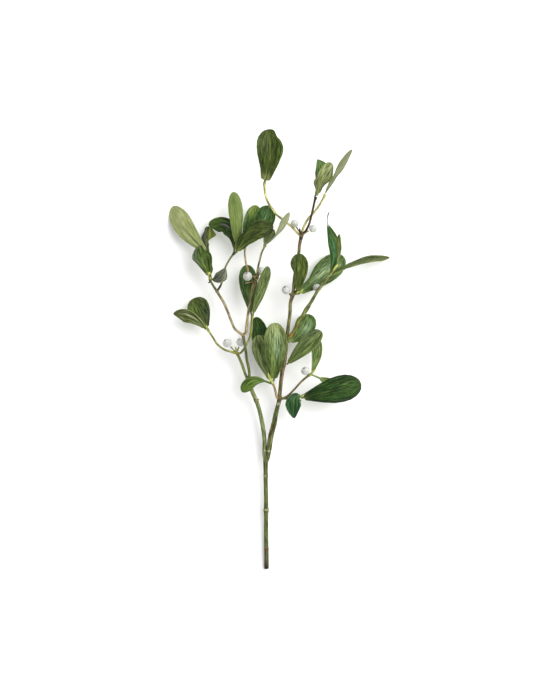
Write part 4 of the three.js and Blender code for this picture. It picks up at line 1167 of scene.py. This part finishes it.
bpy.ops.object.select_all(action="DESELECT")
bpy.ops.mesh.primitive_uv_sphere_add(segments=40, ring_count=28, radius=1)
berry_pattern = bpy.context.object
berry_pattern.data.materials.append(milky_resin)
berry_pattern.data.materials.append(dark_scar)
for vertex in berry_pattern.data.vertices:
    out = math.hypot(vertex.co.x, vertex.co.y)
    if vertex.co.z > 0:
        vertex.co.z -= 0.1 * math.exp(-((out / 0.22) ** 2))
for face in berry_pattern.data.polygons:
    if face.center.z > 0 and math.hypot(face.center.x, face.center.y) < 0.2:
        face.material_index = 1
bpy.ops.object.shade_smooth()

for name, centre, diameter, facing in [
    ("berry_left_outer", (-39, 227, 20), 8.6, (-0.5, 0.6, 0.4)),
    ("berry_left_inner", (-25.5, 228, 20), 8.6, (0.2, 0.8, -0.3)),
    ("berry_centre_front", (-18.3, 293.4, 36), 9, (-0.25, 0.75, 0.6)),
    ("berry_centre_back", (-4.7, 299, 26), 8.5, (0.4, 0.7, -0.4)),
    ("berry_top_left", (28.5, 346.5, 24), 8, (-0.3, 0.8, -0.3)),
    ("berry_top_right", (46.8, 341.2, 32), 7.8, (0.8, 0.4, -0.2)),
    ("berry_right_high", (20, 280.1, 29), 8.6, (-0.35, 0.7, 0.62)),
    ("berry_right_side", (50.6, 282.4, 24.5), 7.8, (0.2, 0.6, -0.7)),
    ("berry_low", (39.4, 199, 24), 8.6, (-0.35, 0.7, 0.62)),
]:
    bpy.ops.object.select_all(action="DESELECT")
    berry_pattern.select_set(True)
    bpy.context.view_layer.objects.active = berry_pattern
    bpy.ops.object.duplicate()
    berry = bpy.context.object
    berry.name = berry.data.name = name + "_resin"
    turn = Vector((0, 0, 1)).rotation_difference(Vector(facing)).to_matrix().to_4x4()
    berry.data.transform(turn)
    ball = np.empty(len(berry.data.vertices) * 3)
    berry.data.vertices.foreach_get("co", ball)
    place = ball.reshape(-1, 3) * diameter / 2 + np.array(centre) - FOOT
    berry.data.vertices.foreach_set("co", (place / 1000).ravel())
    berry.data.update()
    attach(berry, "root")
    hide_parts(name)

bpy.ops.object.select_all(action="DESELECT")
berry_pattern.select_set(True)
bpy.ops.object.delete()

# ---------------------------------------------------------------------------------------------
# The studio: a plain pale table top, one large soft light and an even white surround, with the
# camera straight above the table.


def build_table(tree, shader):
    shader.inputs["Base Color"].default_value = (0.93, 0.93, 0.925, 1)
    shader.inputs["Roughness"].default_value = 0.8
    shader.inputs["Specular IOR Level"].default_value = 0.1


bpy.ops.object.select_all(action="DESELECT")
bpy.ops.mesh.primitive_plane_add(size=9, location=(0, 0, -0.0003))
table = bpy.context.object
table.name = "pale_table_top"
table.data.materials.append(finish_material("pale_table", build_table))

bpy.ops.object.light_add(type="SUN", rotation=(math.radians(-22), math.radians(42), 0))
sun = bpy.context.object
sun.data.energy = 3.7
sun.data.angle = math.radians(60)

world = bpy.data.worlds.new("even_surround")
world.use_nodes = True
world.node_tree.nodes["Background"].inputs["Color"].default_value = (1, 1, 1, 1)
world.node_tree.nodes["Background"].inputs["Strength"].default_value = 0.78
bpy.context.scene.world = world
bpy.context.scene.view_settings.view_transform = "Standard"

bpy.ops.object.camera_add(location=(0.0004, -0.0003, 3.914), rotation=(0, 0, 0))
camera = bpy.context.object
camera.data.lens = 200
camera.data.sensor_width = 36
camera.data.clip_end = 50
bpy.context.scene.camera = camera
